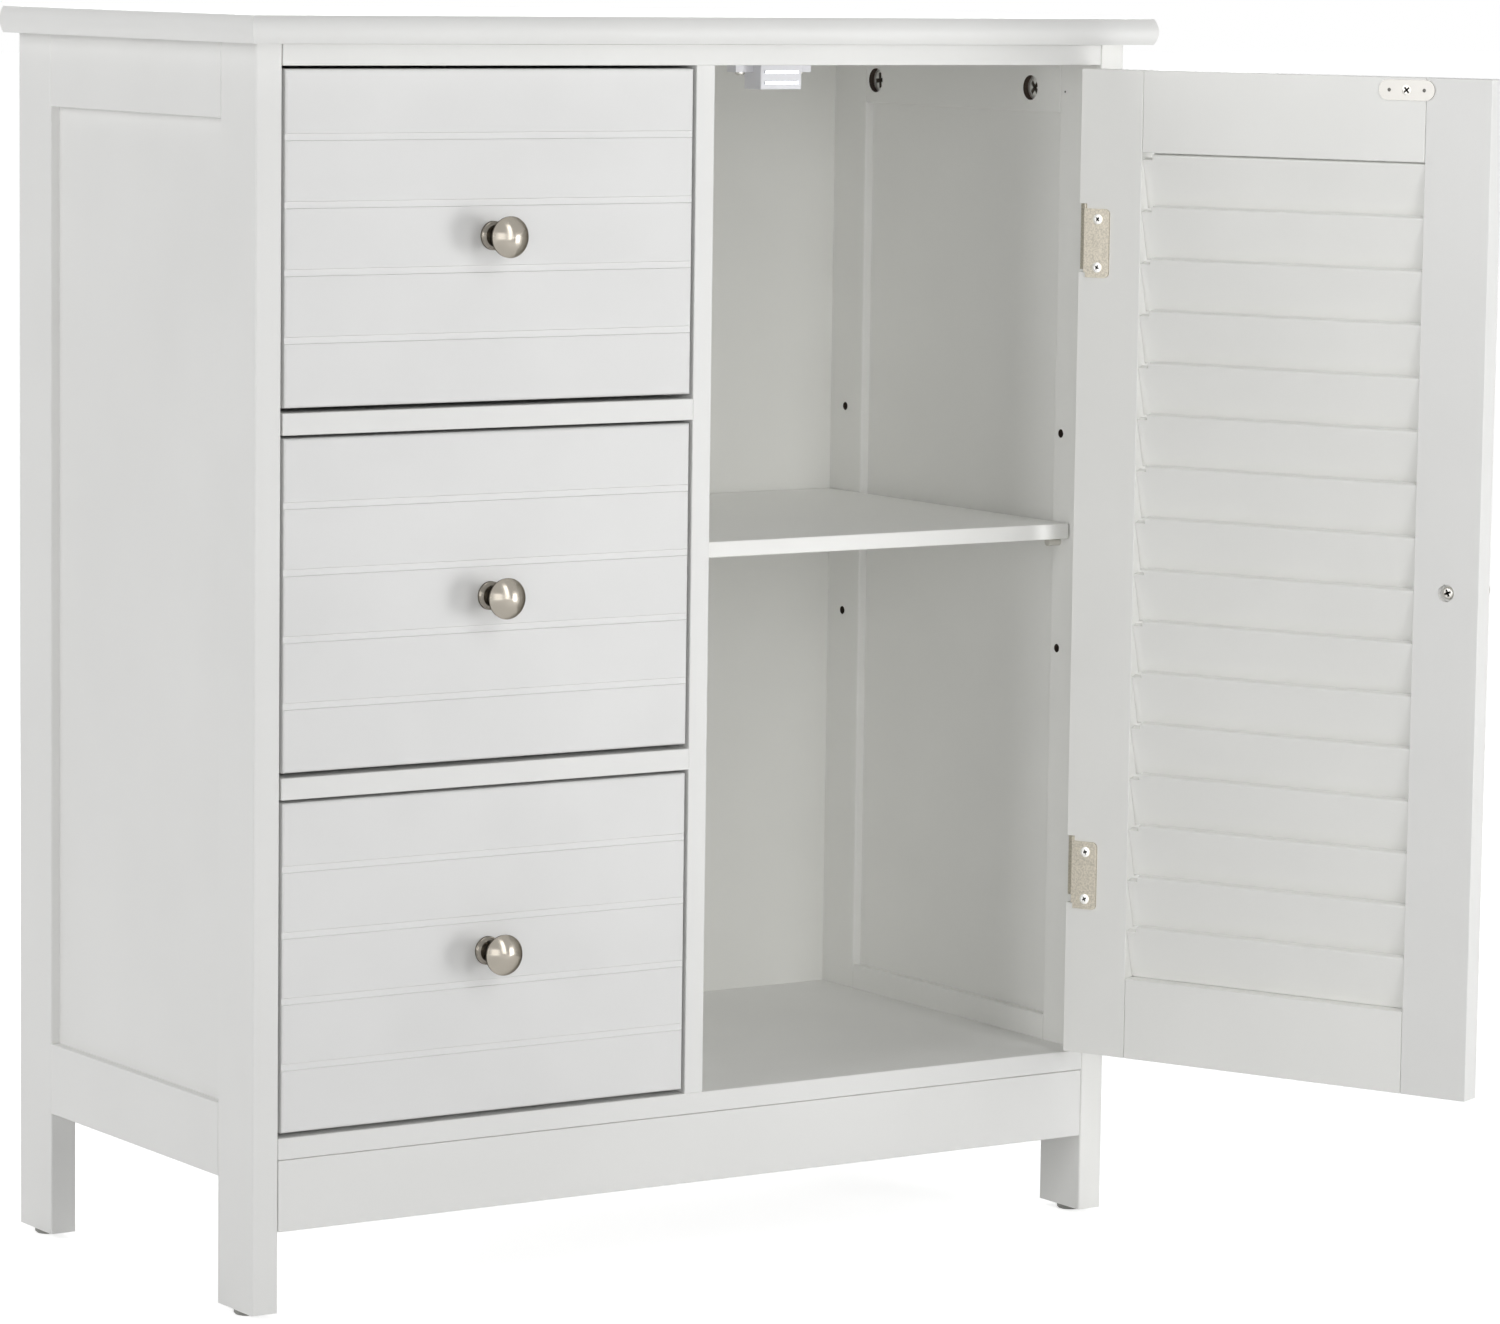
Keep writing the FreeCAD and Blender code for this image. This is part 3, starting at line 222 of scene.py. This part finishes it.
def turned_piece(name, grids, material, body, slot, crease=35, **values):
    """One mesh from closed grids of (copy, row, around): fans of triangles at the first and last row, which are
    poles, and quads between. Edges sharper than crease degrees stay sharp. Values are numbers per (row, around)
    point that the material reads, and each point's way to the next row is kept too."""
    copies, rows, around = grids.shape[:3]

    def listed(field):
        return np.concatenate((field[:, :1, 0], field[:, 1:-1].reshape(copies, -1, *field.shape[3:]),
                               field[:, -1:, 0]), axis=1)

    points = listed(grids)
    each = points.shape[1]
    here = np.arange(around)
    ahead = (here + 1) % around
    ring = 1 + around * np.arange(rows - 3)[:, None]
    quads = np.stack((ring + here, ring + around + here, ring + around + ahead, ring + ahead), axis=-1)
    last = 1 + around * (rows - 3)
    tip = np.stack((0 * here, 1 + here, 1 + ahead), axis=-1)
    foot = np.stack((last + here, 0 * here + each - 1, last + ahead), axis=-1)
    shift = each * np.arange(copies)[:, None, None]
    faces = [face for part in (tip, quads.reshape(-1, 4), foot)
             for face in (part + shift).reshape(-1, part.shape[1]).tolist()]
    mesh = bpy.data.meshes.new(name)
    mesh.from_pydata(points.reshape(-1, 3), [], faces)
    for value, field in values.items():
        numbers = listed(np.broadcast_to(field, grids.shape[:3])).astype(np.float32)
        mesh.attributes.new(value, "FLOAT", "POINT").data.foreach_set("value", numbers.ravel())
    ways = np.gradient(grids, axis=1)
    ways = ways / np.maximum(np.linalg.norm(ways, axis=-1, keepdims=True), TINY)
    ways = listed(ways).astype(np.float32)
    mesh.attributes.new("way", "FLOAT_VECTOR", "POINT").data.foreach_set("vector", ways.ravel())
    mesh.polygons.foreach_set("use_smooth", np.ones(len(faces), bool))
    mesh.set_sharp_from_angle(angle=math.radians(crease))
    mesh.materials.append(material)
    piece = bpy.data.objects.new(name, mesh)
    bpy.context.scene.collection.objects.link(piece)
    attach(piece, body)
    return piece


def screw_grid(radius, height, rim, cross=0.52, bar_half=0.13, rows=14, around=40):
    """A screw head seen along z: a low dome that falls with the fourth power of the radius to the rim, a wall
    down to the seat, and a cross recess cut from the dome. The cross's reach and half its bars' width are
    shares of the radius. Returns the grid and how far each point is in the cross, which the material also
    draws dark as painted shade."""
    way = np.linspace(0, 1, rows)
    dome = np.stack((radius * way, rim + (height - rim) * (1 - way ** 4)), axis=1)
    grid = lathe_grid(np.concatenate((dome, [(radius, 0), (0, 0)])), around)
    x, y, z = np.moveaxis(grid, -1, 0)
    arm, half, soft = cross * radius, bar_half * radius, CROSS_SOFT * radius

    def bar(along, over):
        inside_ends = np.clip((arm - abs(along)) / soft + 0.5, 0, 1)
        return inside_ends * np.clip((half - abs(over)) / soft + 0.5, 0, 1)

    pit = np.maximum(bar(x, y), bar(y, x)) * (np.arange(rows + 2) < rows)[:, None]
    grid[..., 2] = z - CROSS_DEPTH * pit * height
    return grid, pit


def bore_grid(floor, mouth, outside, depth, around):
    """The lining of a drilled hole in millimetres, turned about z: out along the floor, up a wall that opens a
    little from floor to mouth, over the rim, and down the outside to the seat."""
    rows = [(0, LINING_FLOOR), (floor, LINING_FLOOR), (mouth, depth), (outside, depth), (outside, 0),
            (0, 0)]
    return lathe_grid(MM * np.array(rows), around)


cast_zinc = plated("die_cast_zinc", "#F6F5F2", "#0C0B0A", roughness=0.5, brush=0.05 * MM)
# Raw pine drawn dark brown: the wood's own colour darkened as painted shade inside the bores.
raw_pine_and_bore_shade = moulded("raw_drilled_pine_darkened_as_shade", "#3A2F25", roughness=0.8, ior=1.5, texture=0.8 * MM, relief=0.1 * MM)
finish_nodes(cast_zinc, "cam_fittings")
cam_spots = [(side * CAM_FACE, y, CAM_HEIGHT) for side in (-1, 1) for y in CAM_DEPTHS]
cam_out = [(1, 0, 0)] * 2 + [(-1, 0, 0)] * 2
cam_head, cam_pit = screw_grid(radius=CAM_RADIUS - 0.2 * MM, height=0.5 * MM, rim=0.2 * MM, cross=0.66,
                               bar_half=0.18, rows=22, around=56)
turned_piece("cam_faces", stamped(cam_head, cam_spots, cam_out, roll=(0.3, 0.9, 0.75, 0.1)), cast_zinc,
             "carcass", "zinc_steel", pit=cam_pit)
cam_bore = bore_grid(floor=7.2, mouth=7.25, outside=7.33, depth=3.55, around=48)
turned_piece("cam_bores", stamped(cam_bore, cam_spots, cam_out), raw_pine_and_bore_shade, "carcass", "painted_wood")

# Back: a thin hardboard sheet, white on its face, nailed into rabbets in the rear posts and onto the edges of
# the floor and the divider with flat-headed wire nails. One finer nail shows in the front right post.
NAIL_RADIUS, NAIL_HEAD = 2.6 * MM, 0.7 * MM
FINE_NAIL_RADIUS, FINE_NAIL_HEAD = 0.65 * MM, 0.15 * MM
POST_NAIL = (272 * MM, -106 * MM, 666.5 * MM)
POST_INSET, DIVIDER_MIDDLE, FLOOR_MIDDLE = 3 * MM, -2.5 * MM, 6 * MM
LOWEST_NAIL, HIGHEST_NAIL, COLUMN_NAILS = 26 * MM, 20 * MM, 7
FLOOR_NAILS_FROM, FLOOR_NAILS_TO, FLOOR_NAILS = -220 * MM, 215 * MM, 6
zinc = plated("zinc_plated_steel", "#DAD8D2", "#0C0B0A", roughness=0.34, brush=0.05 * MM)
hardboard = lacquered("white_faced_hardboard", ("#F8F8F4", "#F4F4F0"), (7 * MM, 7 * MM, 7 * MM))
finish_nodes(hardboard, "back_panel")
back_low, back_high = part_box("back_panel")
nail_columns = (back_low.x + POST_INSET, DIVIDER_MIDDLE, back_high.x - POST_INSET)
nail_heights = np.linspace(back_low.z + LOWEST_NAIL, back_high.z - HIGHEST_NAIL, COLUMN_NAILS)
nail_spots = [(x, back_high.y, z) for x in nail_columns for z in nail_heights]
nail_spots += [(x, back_high.y, back_low.z + FLOOR_MIDDLE)
               for x in np.linspace(FLOOR_NAILS_FROM, FLOOR_NAILS_TO, FLOOR_NAILS)]


def button_grid(radius, height, around=14):
    """A flat disc whose edge falls as a quarter of an ellipse, a tenth of the radius wide, to the seat."""
    turn = np.linspace(0, np.pi / 2, 5)
    edge = np.stack((radius * (0.9 + 0.1 * np.sin(turn)), height * np.cos(turn)), axis=1)
    return lathe_grid(np.concatenate(([(0, height)], edge, [(0, 0)])), around)


turned_piece("back_panel_nails", stamped(button_grid(NAIL_RADIUS, NAIL_HEAD), nail_spots, (0, 1, 0)), zinc,
             "carcass", "zinc_steel")
# Its head is drawn nearly black: painted shade.
fine_nail = button_grid(FINE_NAIL_RADIUS, FINE_NAIL_HEAD)
turned_piece("front_right_post_nail", stamped(fine_nail, POST_NAIL, (-1, 0, 0)), zinc, "carcass", "zinc_steel",
             pit=0.9)

# Glides: soft polyethylene discs that keep the legs' end grain off the floor.
# Each is driven under its leg by the nail through its middle.
polyethylene = moulded("grey_polyethylene", "#8E8E89", roughness=0.45, ior=1.52, texture=1.5 * MM,
                       relief=0.1 * MM, clear=0.2)
finish_nodes(polyethylene, "foot_glides")

# Shelf: a thin lacquered board, loose on four steel pins that fit any of three heights.
# The holes that are not in use show the raw pine of the drilled wood, drawn dark brown as painted shade.
BORE_FLOORS, PIN_DEPTHS, FREE_HEIGHTS = (280.4, -4.9), (-107.999, 119), (337, 465)
# The shelf gets the whiter copy of the lacquer, as painted light.
finish_nodes(painted_light_level_lacquer, "shelf")
finish_nodes(zinc, "shelf_pins")
pin_bore = bore_grid(floor=2.46, mouth=2.48, outside=2.53, depth=8.3, around=24)
hole_spots = [(x * MM, y * MM, z * MM) for x in BORE_FLOORS for y in PIN_DEPTHS for z in FREE_HEIGHTS]
hole_out = [(-1, 0, 0)] * 4 + [(1, 0, 0)] * 4
turned_piece("shelf_pin_bores", stamped(pin_bore, hole_spots, hole_out), raw_pine_and_bore_shade, "carcass", "painted_wood")

# Magnetic catch: a white moulded body screwed up under the front top rail through its two ears, with a magnet
# between two steel pole plates.
CATCH_MIDDLE, EAR_REACH, EAR_DEPTH, EAR_HEIGHT = 58.5 * MM, 19.7 * MM, -112.5 * MM, 678.5 * MM
white_abs = moulded("white_abs", "#E4E4E8", roughness=0.38, ior=1.53, texture=1.2 * MM, relief=0.08 * MM)
pole_zinc = plated("bright_zinc_plate", "#C9CDD4", "#0C0B0A", roughness=0.26, brush=0.03 * MM)
finish_nodes(white_abs, "catch_body")
finish_nodes(pole_zinc, "catch_poles")
catch_head, catch_pit = screw_grid(radius=2.9 * MM, height=1.8 * MM, rim=0.7 * MM)
catch_spots = [(CATCH_MIDDLE + way * EAR_REACH, EAR_DEPTH, EAR_HEIGHT) for way in (-1, 1)]
turned_piece("catch_screws", stamped(catch_head, catch_spots, (0, 0, -1), roll=(0.3, 1.0)), zinc, "carcass",
             "zinc_steel", pit=catch_pit)

# Louvred door: stiles and rails with slats that seat in mortises, all lacquered pine. It hangs on the right
# post and stands open at 113.5 degrees, so its boards' grain is turned by as much.
DOOR_PIVOT = (268.05 * MM, -143.4 * MM)
DOOR_TURN = math.radians(113.5)
OUT_OF_DOOR = (-math.sin(DOOR_TURN), math.cos(DOOR_TURN), 0.0)


def on_door(x, y, z):
    """A point of the shut door, in millimetres from the hinge axis, turned with the door about that axis."""
    cosine, sine = math.cos(DOOR_TURN), math.sin(DOOR_TURN)
    return (DOOR_PIVOT[0] + MM * (x * cosine - y * sine), DOOR_PIVOT[1] + MM * (x * sine + y * cosine), z * MM)


# The hinge stile, rails and slats get the whiter copy of the lacquer as painted light; the latch stile keeps
# the plain one.
door_level_painted_light_lacquer = lacquered("white_lacquer_with_painted_light_on_pine_door_level", PAINTED_LIGHT_LACQUER, LEVEL, DOOR_TURN)
finish_nodes(upright_lacquer, "door_latch_stile")
finish_nodes(painted_light_upright_lacquer, "door_hinge_stile")
finish_nodes(door_level_painted_light_lacquer, "door_top_rail", "door_bottom_rail", "louvre_slats")

# Strike plate: a stamped nickel-plated strip that the magnet draws. One countersunk screw between two dimples
# holds it to the door's top rail.
STRIKE_MIDDLE, STRIKE_FACE, STRIKE_HEIGHT, DIMPLE_STEP = -209.55, 17.2, 674, 11
strike_nickel = plated("bright_nickel_plate", "#B3B1AD", "#14120F", roughness=0.36, brush=0.03 * MM)
finish_nodes(strike_nickel, "strike_plate")
flush_head, flush_pit = screw_grid(radius=2.9 * MM, height=0.35 * MM, rim=0.05 * MM, cross=0.72,
                                   bar_half=0.17)
# The dimples are low discs drawn dark, as painted shade where the plate is punched.
dimple = button_grid(radius=1.1 * MM, height=0.08 * MM)
dimple_spots = [on_door(STRIKE_MIDDLE + way * DIMPLE_STEP, STRIKE_FACE, STRIKE_HEIGHT) for way in (-1, 1)]
turned_piece("strike_dimples", stamped(dimple, dimple_spots, OUT_OF_DOOR), strike_nickel, "door", "zinc_steel",
             pit=0.8)
strike_spot = on_door(STRIKE_MIDDLE, STRIKE_FACE, STRIKE_HEIGHT)
turned_piece("strike_screw", stamped(flush_head, strike_spot, OUT_OF_DOOR, roll=0.7), zinc, "door",
             "zinc_steel", pit=flush_pit)

# Hinges: pressed steel leaves on a loose pin, satin nickel plated. One leaf is let onto the post, the other
# wraps round the door's edge, and each takes two cross-head screws.
HINGE_HEIGHTS, LEAF_SCREW_STEP, DOOR_LEAF_DROP = (211.5, 583.2), 14, 2.8
DOOR_LEAF, FRAME_LEAF = (-11.85, 17.5), (270.9 * MM, -132.6 * MM)
hinge_nickel = plated("satin_nickel_plate", "#D3CCBE", "#15120E", roughness=0.33, brush=0.05 * MM, mottle=0.3)
screw_nickel = plated("bright_nickel_screws", "#F8F7F4", "#0E0D0B", roughness=0.42)
finish_nodes(hinge_nickel, "frame_hinge_leaves", "door_hinge_leaves", "hinge_pins")
leaf_head, leaf_pit = screw_grid(radius=3.0 * MM, height=0.8 * MM, rim=0.5 * MM, cross=0.45)
screw_heights = [height + way * LEAF_SCREW_STEP for height in HINGE_HEIGHTS for way in (-1, 1)]
door_leaf_spots = [on_door(*DOOR_LEAF, height - DOOR_LEAF_DROP) for height in screw_heights]
turned_piece("door_hinge_screws", stamped(leaf_head, door_leaf_spots, OUT_OF_DOOR, roll=(0.5, 0.2, 1.1, 0.8)),
             screw_nickel, "door", "hinge_nickel", pit=leaf_pit)
low_head, low_pit = screw_grid(radius=3.0 * MM, height=0.25 * MM, rim=0.05 * MM)
frame_leaf_spots = [(*FRAME_LEAF, height * MM) for height in screw_heights]
turned_piece("frame_hinge_screws", stamped(low_head, frame_leaf_spots, (-1, 0, 0), roll=(0.1, 0.9, 0.4, 1.3)),
             screw_nickel, "carcass", "hinge_nickel", pit=low_pit)

# Knobs: brass turned as a mushroom on a small rosette, polished and plated with satin nickel. A screw through
# the door or the drawer front draws each one up.
KNOB_LENGTH, KNOB_DOME, KNOB_HEAD = 23.8, 5.0, 11.45
KNOB_NECK, KNOB_RIM = 5.0, 2.5
ROSETTE_RADIUS, ROSETTE_EDGE, ROSETTE_CONE, ROSETTE_ROUND = 8.0, 1.6, 1.6, 0.5
EASE_ACROSS, EASE_DOWN = 0.3, 0.2
DOME_ROWS, RIM_ROWS, THROAT_ROWS, CONE_ROWS, EDGE_ROWS, SEAT_ROWS = 22, 7, 17, 2, 5, 2
KNOB_AROUND, KNOB_CREASE = 64, 30
KNOB_ACROSS, DOOR_FACE, SCREW_SEAT, KNOB_HEIGHT = -242.05, 2.4, 12.4, 391.85


def knob_profile():
    """Rows of (radius, height) from the tip to the seat: part of a ball, an ellipse round the rim, a throat
    that opens with the square of its height, and the rosette's cone and rounded edge."""
    ball = (KNOB_HEAD ** 2 + KNOB_DOME ** 2) / (2 * KNOB_DOME)
    turn = np.linspace(0, math.asin(KNOB_HEAD / ball), DOME_ROWS)
    dome = np.stack((ball * np.sin(turn), KNOB_LENGTH - ball + ball * np.cos(turn)), axis=1)
    turn = np.linspace(0, np.pi / 2, RIM_ROWS + 1)[1:]
    rim_height = KNOB_LENGTH - KNOB_DOME
    rim = np.stack((KNOB_HEAD - KNOB_RIM / 2 * (1 - np.cos(turn)),
                    rim_height - KNOB_RIM * np.sin(turn)), axis=1)
    foot = ROSETTE_EDGE + ROSETTE_CONE
    way = np.linspace(1, 0, THROAT_ROWS + 1)[1:]
    flare = KNOB_HEAD - KNOB_RIM / 2 - KNOB_NECK
    throat = np.stack((KNOB_NECK + flare * way ** 2, foot + (rim_height - KNOB_RIM - foot) * way), axis=1)
    cone_top = ROSETTE_RADIUS - ROSETTE_CONE
    cone = [(cone_top - EASE_ACROSS, foot), (cone_top, foot - EASE_DOWN)]
    turn = np.linspace(0, np.pi / 2, EDGE_ROWS)
    edge = np.stack((ROSETTE_RADIUS - ROSETTE_ROUND * (1 - np.sin(turn)),
                     ROSETTE_EDGE - ROSETTE_ROUND * (1 - np.cos(turn))), axis=1)
    return MM * np.concatenate((dome, rim, throat, cone, edge, [(ROSETTE_RADIUS, 0), (0, 0)]))


knob_nickel = plated("satin_nickel_on_brass", "#A19B91", "#15120E", roughness=0.19, lathe_marks=0.8,
                     edge="#3A352E")
knob_grid = lathe_grid(knob_profile(), KNOB_AROUND)
# Painted shade: the throat under the head is drawn darker towards the rosette, and the rosette's cone, edge and
# seat are drawn dark too.
throat_and_rosette_shade = np.concatenate((np.zeros(DOME_ROWS + RIM_ROWS), np.linspace(0.1, 0.5, THROAT_ROWS),
                              np.full(CONE_ROWS, 0.5), np.full(EDGE_ROWS, 0.35), np.full(SEAT_ROWS, 0.2)))
throat_and_rosette_shade = throat_and_rosette_shade[:, None]
into_door = [-way for way in OUT_OF_DOOR]
door_knob = turned_piece("turned_door_knob",
                         stamped(knob_grid, on_door(KNOB_ACROSS, DOOR_FACE, KNOB_HEIGHT), into_door),
                         knob_nickel, "door", "satin_nickel", KNOB_CREASE, pit=throat_and_rosette_shade)
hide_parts("door_knob")
knob_head, knob_pit = screw_grid(radius=3.6 * MM, height=2.2 * MM, rim=1.2 * MM)
knob_screw_spot = on_door(KNOB_ACROSS, SCREW_SEAT, KNOB_HEIGHT)
turned_piece("door_knob_screw", stamped(knob_head, knob_screw_spot, OUT_OF_DOOR, roll=0.4), zinc, "door",
             "zinc_steel", pit=knob_pit)

# Drawers: grooved pine fronts on boxes of white foiled board, with a thin tray. White powder-coated slides
# carry them on nylon rollers, and the slides' screws are flat so that the rollers pass over them.
DRAWER_LACQUER = ("#EBEBEA", "#E6E6E5")
BAY_PITCH, FIRST_FLOOR, SLIDE_MIDDLE = 198.333 * MM, 100 * MM, 19 * MM
LEFT_WALL, RIGHT_WALL, SLIDE_SPACE, SLIDE_STEEL = -272 * MM, -8.5 * MM, 12.7 * MM, 1.2 * MM
MEMBER_SCREWS, CHANNEL_SCREWS = (-70 * MM, 45 * MM), (-90 * MM, 80 * MM)
front_lacquer = lacquered("white_lacquer_on_pine_drawer_fronts", DRAWER_LACQUER, LEVEL)
foiled_board = lacquered("white_foil_on_board", ("#E9E9E6", "#E5E5E2"), (9 * MM, 9 * MM, 9 * MM))
powder_coat = moulded("white_powder_coat_on_steel", "#E4E5E3", roughness=0.45, ior=1.5, texture=1.0 * MM,
                      relief=0.1 * MM)
nylon = moulded("white_nylon", "#E6E5DE", roughness=0.42, ior=1.53, texture=1.5 * MM, relief=0.05 * MM,
                clear=0.1)
finish_nodes(powder_coat, "cabinet_slides")
slide_head, slide_pit = screw_grid(radius=3.2 * MM, height=0.45 * MM, rim=0.1 * MM)
member_walls = (LEFT_WALL + SLIDE_SPACE - SLIDE_STEEL, RIGHT_WALL - SLIDE_SPACE + SLIDE_STEEL)
member_out = [(-1, 0, 0)] * 2 + [(1, 0, 0)] * 2
channel_walls = (LEFT_WALL + SLIDE_STEEL, RIGHT_WALL - SLIDE_STEEL)
channel_spots, channel_out = [], []
for floor, name in enumerate(("lower", "middle", "upper")):
    drawer = f"{name}_drawer"
    finish_nodes(front_lacquer, f"{drawer}_front")
    finish_nodes(foiled_board, f"{drawer}_sides", f"{drawer}_back", f"{drawer}_tray")
    finish_nodes(powder_coat, f"{drawer}_slides")
    finish_nodes(nylon, f"{name}_front_rollers", f"{name}_rear_rollers")
    low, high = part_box(f"{drawer}_front")
    middle = ((low.x + high.x) / 2, low.y, (low.z + high.z) / 2)
    knob = turned_piece(f"turned_{drawer}_knob", stamped(knob_grid, middle, (0, -1, 0)), knob_nickel, drawer,
                        "satin_nickel", KNOB_CREASE, pit=throat_and_rosette_shade)
    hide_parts(f"{drawer}_knob")
    behind = (middle[0], high.y, middle[2])
    turned_piece(f"{drawer}_knob_screw", stamped(knob_head, behind, (0, 1, 0), roll=floor), zinc, drawer,
                 "zinc_steel", pit=knob_pit)
    height = FIRST_FLOOR + floor * BAY_PITCH + SLIDE_MIDDLE
    member_spots = [(x, y, height) for x in member_walls for y in MEMBER_SCREWS]
    turned_piece(f"{drawer}_slide_screws",
                 stamped(slide_head, member_spots, member_out, roll=(0.2, 0.9, 0.5, 1.2)), zinc, drawer,
                 "zinc_steel", pit=slide_pit)
    channel_spots += [(x, y, height) for x in channel_walls for y in CHANNEL_SCREWS]
    channel_out += [(1, 0, 0)] * 2 + [(-1, 0, 0)] * 2
channel_rolls = np.arange(len(channel_spots))
turned_piece("cabinet_slide_screws", stamped(slide_head, channel_spots, channel_out, channel_rolls), zinc,
             "carcass", "zinc_steel", pit=slide_pit)

# Studio: a wide white paper floor that brightens with distance until it meets the white surround without an
# edge. Soft boxes stand in front, on the left and behind on both sides, and two narrow upright ones nearer in
# front. The surround is seen at one strength and lights the cabinet at a much lower one.
SURROUND, SKY = 1.0, 0.08
LIFT_NEAR, LIFT_FAR, LIFT_FROM, LIFT_TO = 0.7, 0.95, 0.8, 2.6
LAMP_AIM = (0.0, 0.0, 0.35)
LAMPS = {
    "front_soft_box": ((-1.7, -3.0, 0.5), 2.0, 2.0, 20.5),
    "left_soft_box": ((-3.0, -0.8, 0.9), 0.6, 1.4, 17.3),
    "left_rear_soft_box": ((-2.2, 0.8, 1.5), 1.4, 1.4, 17.0),
    "right_rear_soft_box": ((0.9, 1.6, 1.3), 1.4, 1.4, 22.0),
    "middle_soft_box": ((0.1, -1.6, 1.0), 0.4, 1.6, 7.2),
    "low_right_soft_box": ((1.2, -1.6, 0.25), 0.6, 1.0, 13.0),
}
FLOOR_REACH, FLOOR_DEPTH, FLOOR_ROWS = 30.0, 0.2 * MM, 5


def seen_directly(tree):
    """1 for rays that look at the surround itself or see it in metal or glass, 0 for the light it casts."""
    path = add(tree, "LightPath")
    mirrored = add(tree, "Math", {0: (path, "Is Camera Ray"), 1: (path, "Is Glossy Ray")}, operation="MAXIMUM")
    return add(tree, "Math", {0: (mirrored, "Value"), 1: (path, "Is Transmission Ray")}, operation="MAXIMUM")


paper, tree = blank("white_paper_floor")
matt = add(tree, "BsdfDiffuse", {"Color": linear("#E8E8E8")})
away = add(tree, "VectorMath", {0: (add(tree, "TexCoord"), "Object")}, operation="LENGTH")
level = add(tree, "MapRange", {"Value": (away, "Value"), "From Min": LIFT_FROM, "From Max": LIFT_TO,
                               "To Min": LIFT_NEAR, "To Max": LIFT_FAR})
lift = add(tree, "Math", {0: (seen_directly(tree), "Value"), 1: (level, "Result")}, operation="MULTIPLY")
glow = add(tree, "Emission", {"Color": linear("#FFFFFF"), "Strength": (lift, "Value")})
both = add(tree, "AddShader", {0: (matt, "BSDF"), 1: (glow, "Emission")})
add(tree, "OutputMaterial", {"Surface": (both, "Shader")})
lines = np.linspace(-FLOOR_REACH, FLOOR_REACH, FLOOR_ROWS)
across, along = np.meshgrid(lines, lines)
floor_points = np.stack((across, along, np.full_like(across, -FLOOR_DEPTH)), axis=-1).reshape(-1, 3)
squares = np.arange(FLOOR_ROWS - 1)
corner = (squares[:, None] * FLOOR_ROWS + squares).ravel()
floor_faces = np.stack((corner, corner + 1, corner + FLOOR_ROWS + 1, corner + FLOOR_ROWS), axis=1)
floor_mesh = bpy.data.meshes.new("studio_floor")
floor_mesh.from_pydata(floor_points, [], floor_faces.tolist())
floor_mesh.materials.append(paper)
studio_floor = bpy.data.objects.new("studio_floor", floor_mesh)
bpy.context.scene.collection.objects.link(studio_floor)

surround = bpy.data.worlds.new("white_surround")
surround.use_nodes = True
tree = surround.node_tree
tree.nodes.clear()
level = add(tree, "MapRange", {"Value": (seen_directly(tree), "Value"), "To Min": SKY, "To Max": SURROUND})
sky = add(tree, "Background", {"Color": linear("#FFFFFF"), "Strength": (level, "Result")})
add(tree, "OutputWorld", {"Surface": (sky, "Background")})
bpy.context.scene.world = surround


def facing(direction, up=(0.0, 0.0, 1.0)):
    """Columns right, up and back of something that looks along a direction."""
    forward = np.array(direction) / np.linalg.norm(direction)
    right = np.cross(forward, up)
    right = right / np.linalg.norm(right)
    return np.stack((right, np.cross(right, forward), -forward), axis=1)


def placed(name, data, at, columns):
    """A lamp or camera at a point, turned to those columns."""
    made = bpy.data.objects.new(name, data)
    matrix = np.eye(4)
    matrix[:3, :3], matrix[:3, 3] = columns, at
    made.matrix_world = matrix.T.tolist()
    bpy.context.scene.collection.objects.link(made)
    return made


for name, (at, width, height, watts) in LAMPS.items():
    soft_box = bpy.data.lights.new(name, "AREA")
    soft_box.shape = "RECTANGLE"
    soft_box.size, soft_box.size_y = width, height
    soft_box.energy = watts
    placed(name, soft_box, at, facing(np.subtract(LAMP_AIM, at))).visible_camera = False

# Camera: a little above the top's height, in front on the left, looking slightly down.
# A long lens keeps the cabinet's upright edges nearly parallel.
CAMERA_AT = (-1.8385, -2.9786, 0.7547)
YAW, PITCH, ROLL = (math.radians(angle) for angle in (33.393, 6.866, 0.762))
lens = bpy.data.cameras.new("camera")
lens.sensor_fit = "HORIZONTAL"
lens.sensor_width = 36.0
lens.lens = 144.57
look = facing((math.sin(YAW) * math.cos(PITCH), math.cos(YAW) * math.cos(PITCH), -math.sin(PITCH)))
right, up, back = look.T
tilted_right = math.cos(ROLL) * right + math.sin(ROLL) * up
tilted_up = math.cos(ROLL) * up - math.sin(ROLL) * right
tilted = np.stack((tilted_right, tilted_up, back), axis=1)
bpy.context.scene.camera = placed("camera", lens, CAMERA_AT, tilted)
bpy.context.scene.view_settings.view_transform = "Standard"
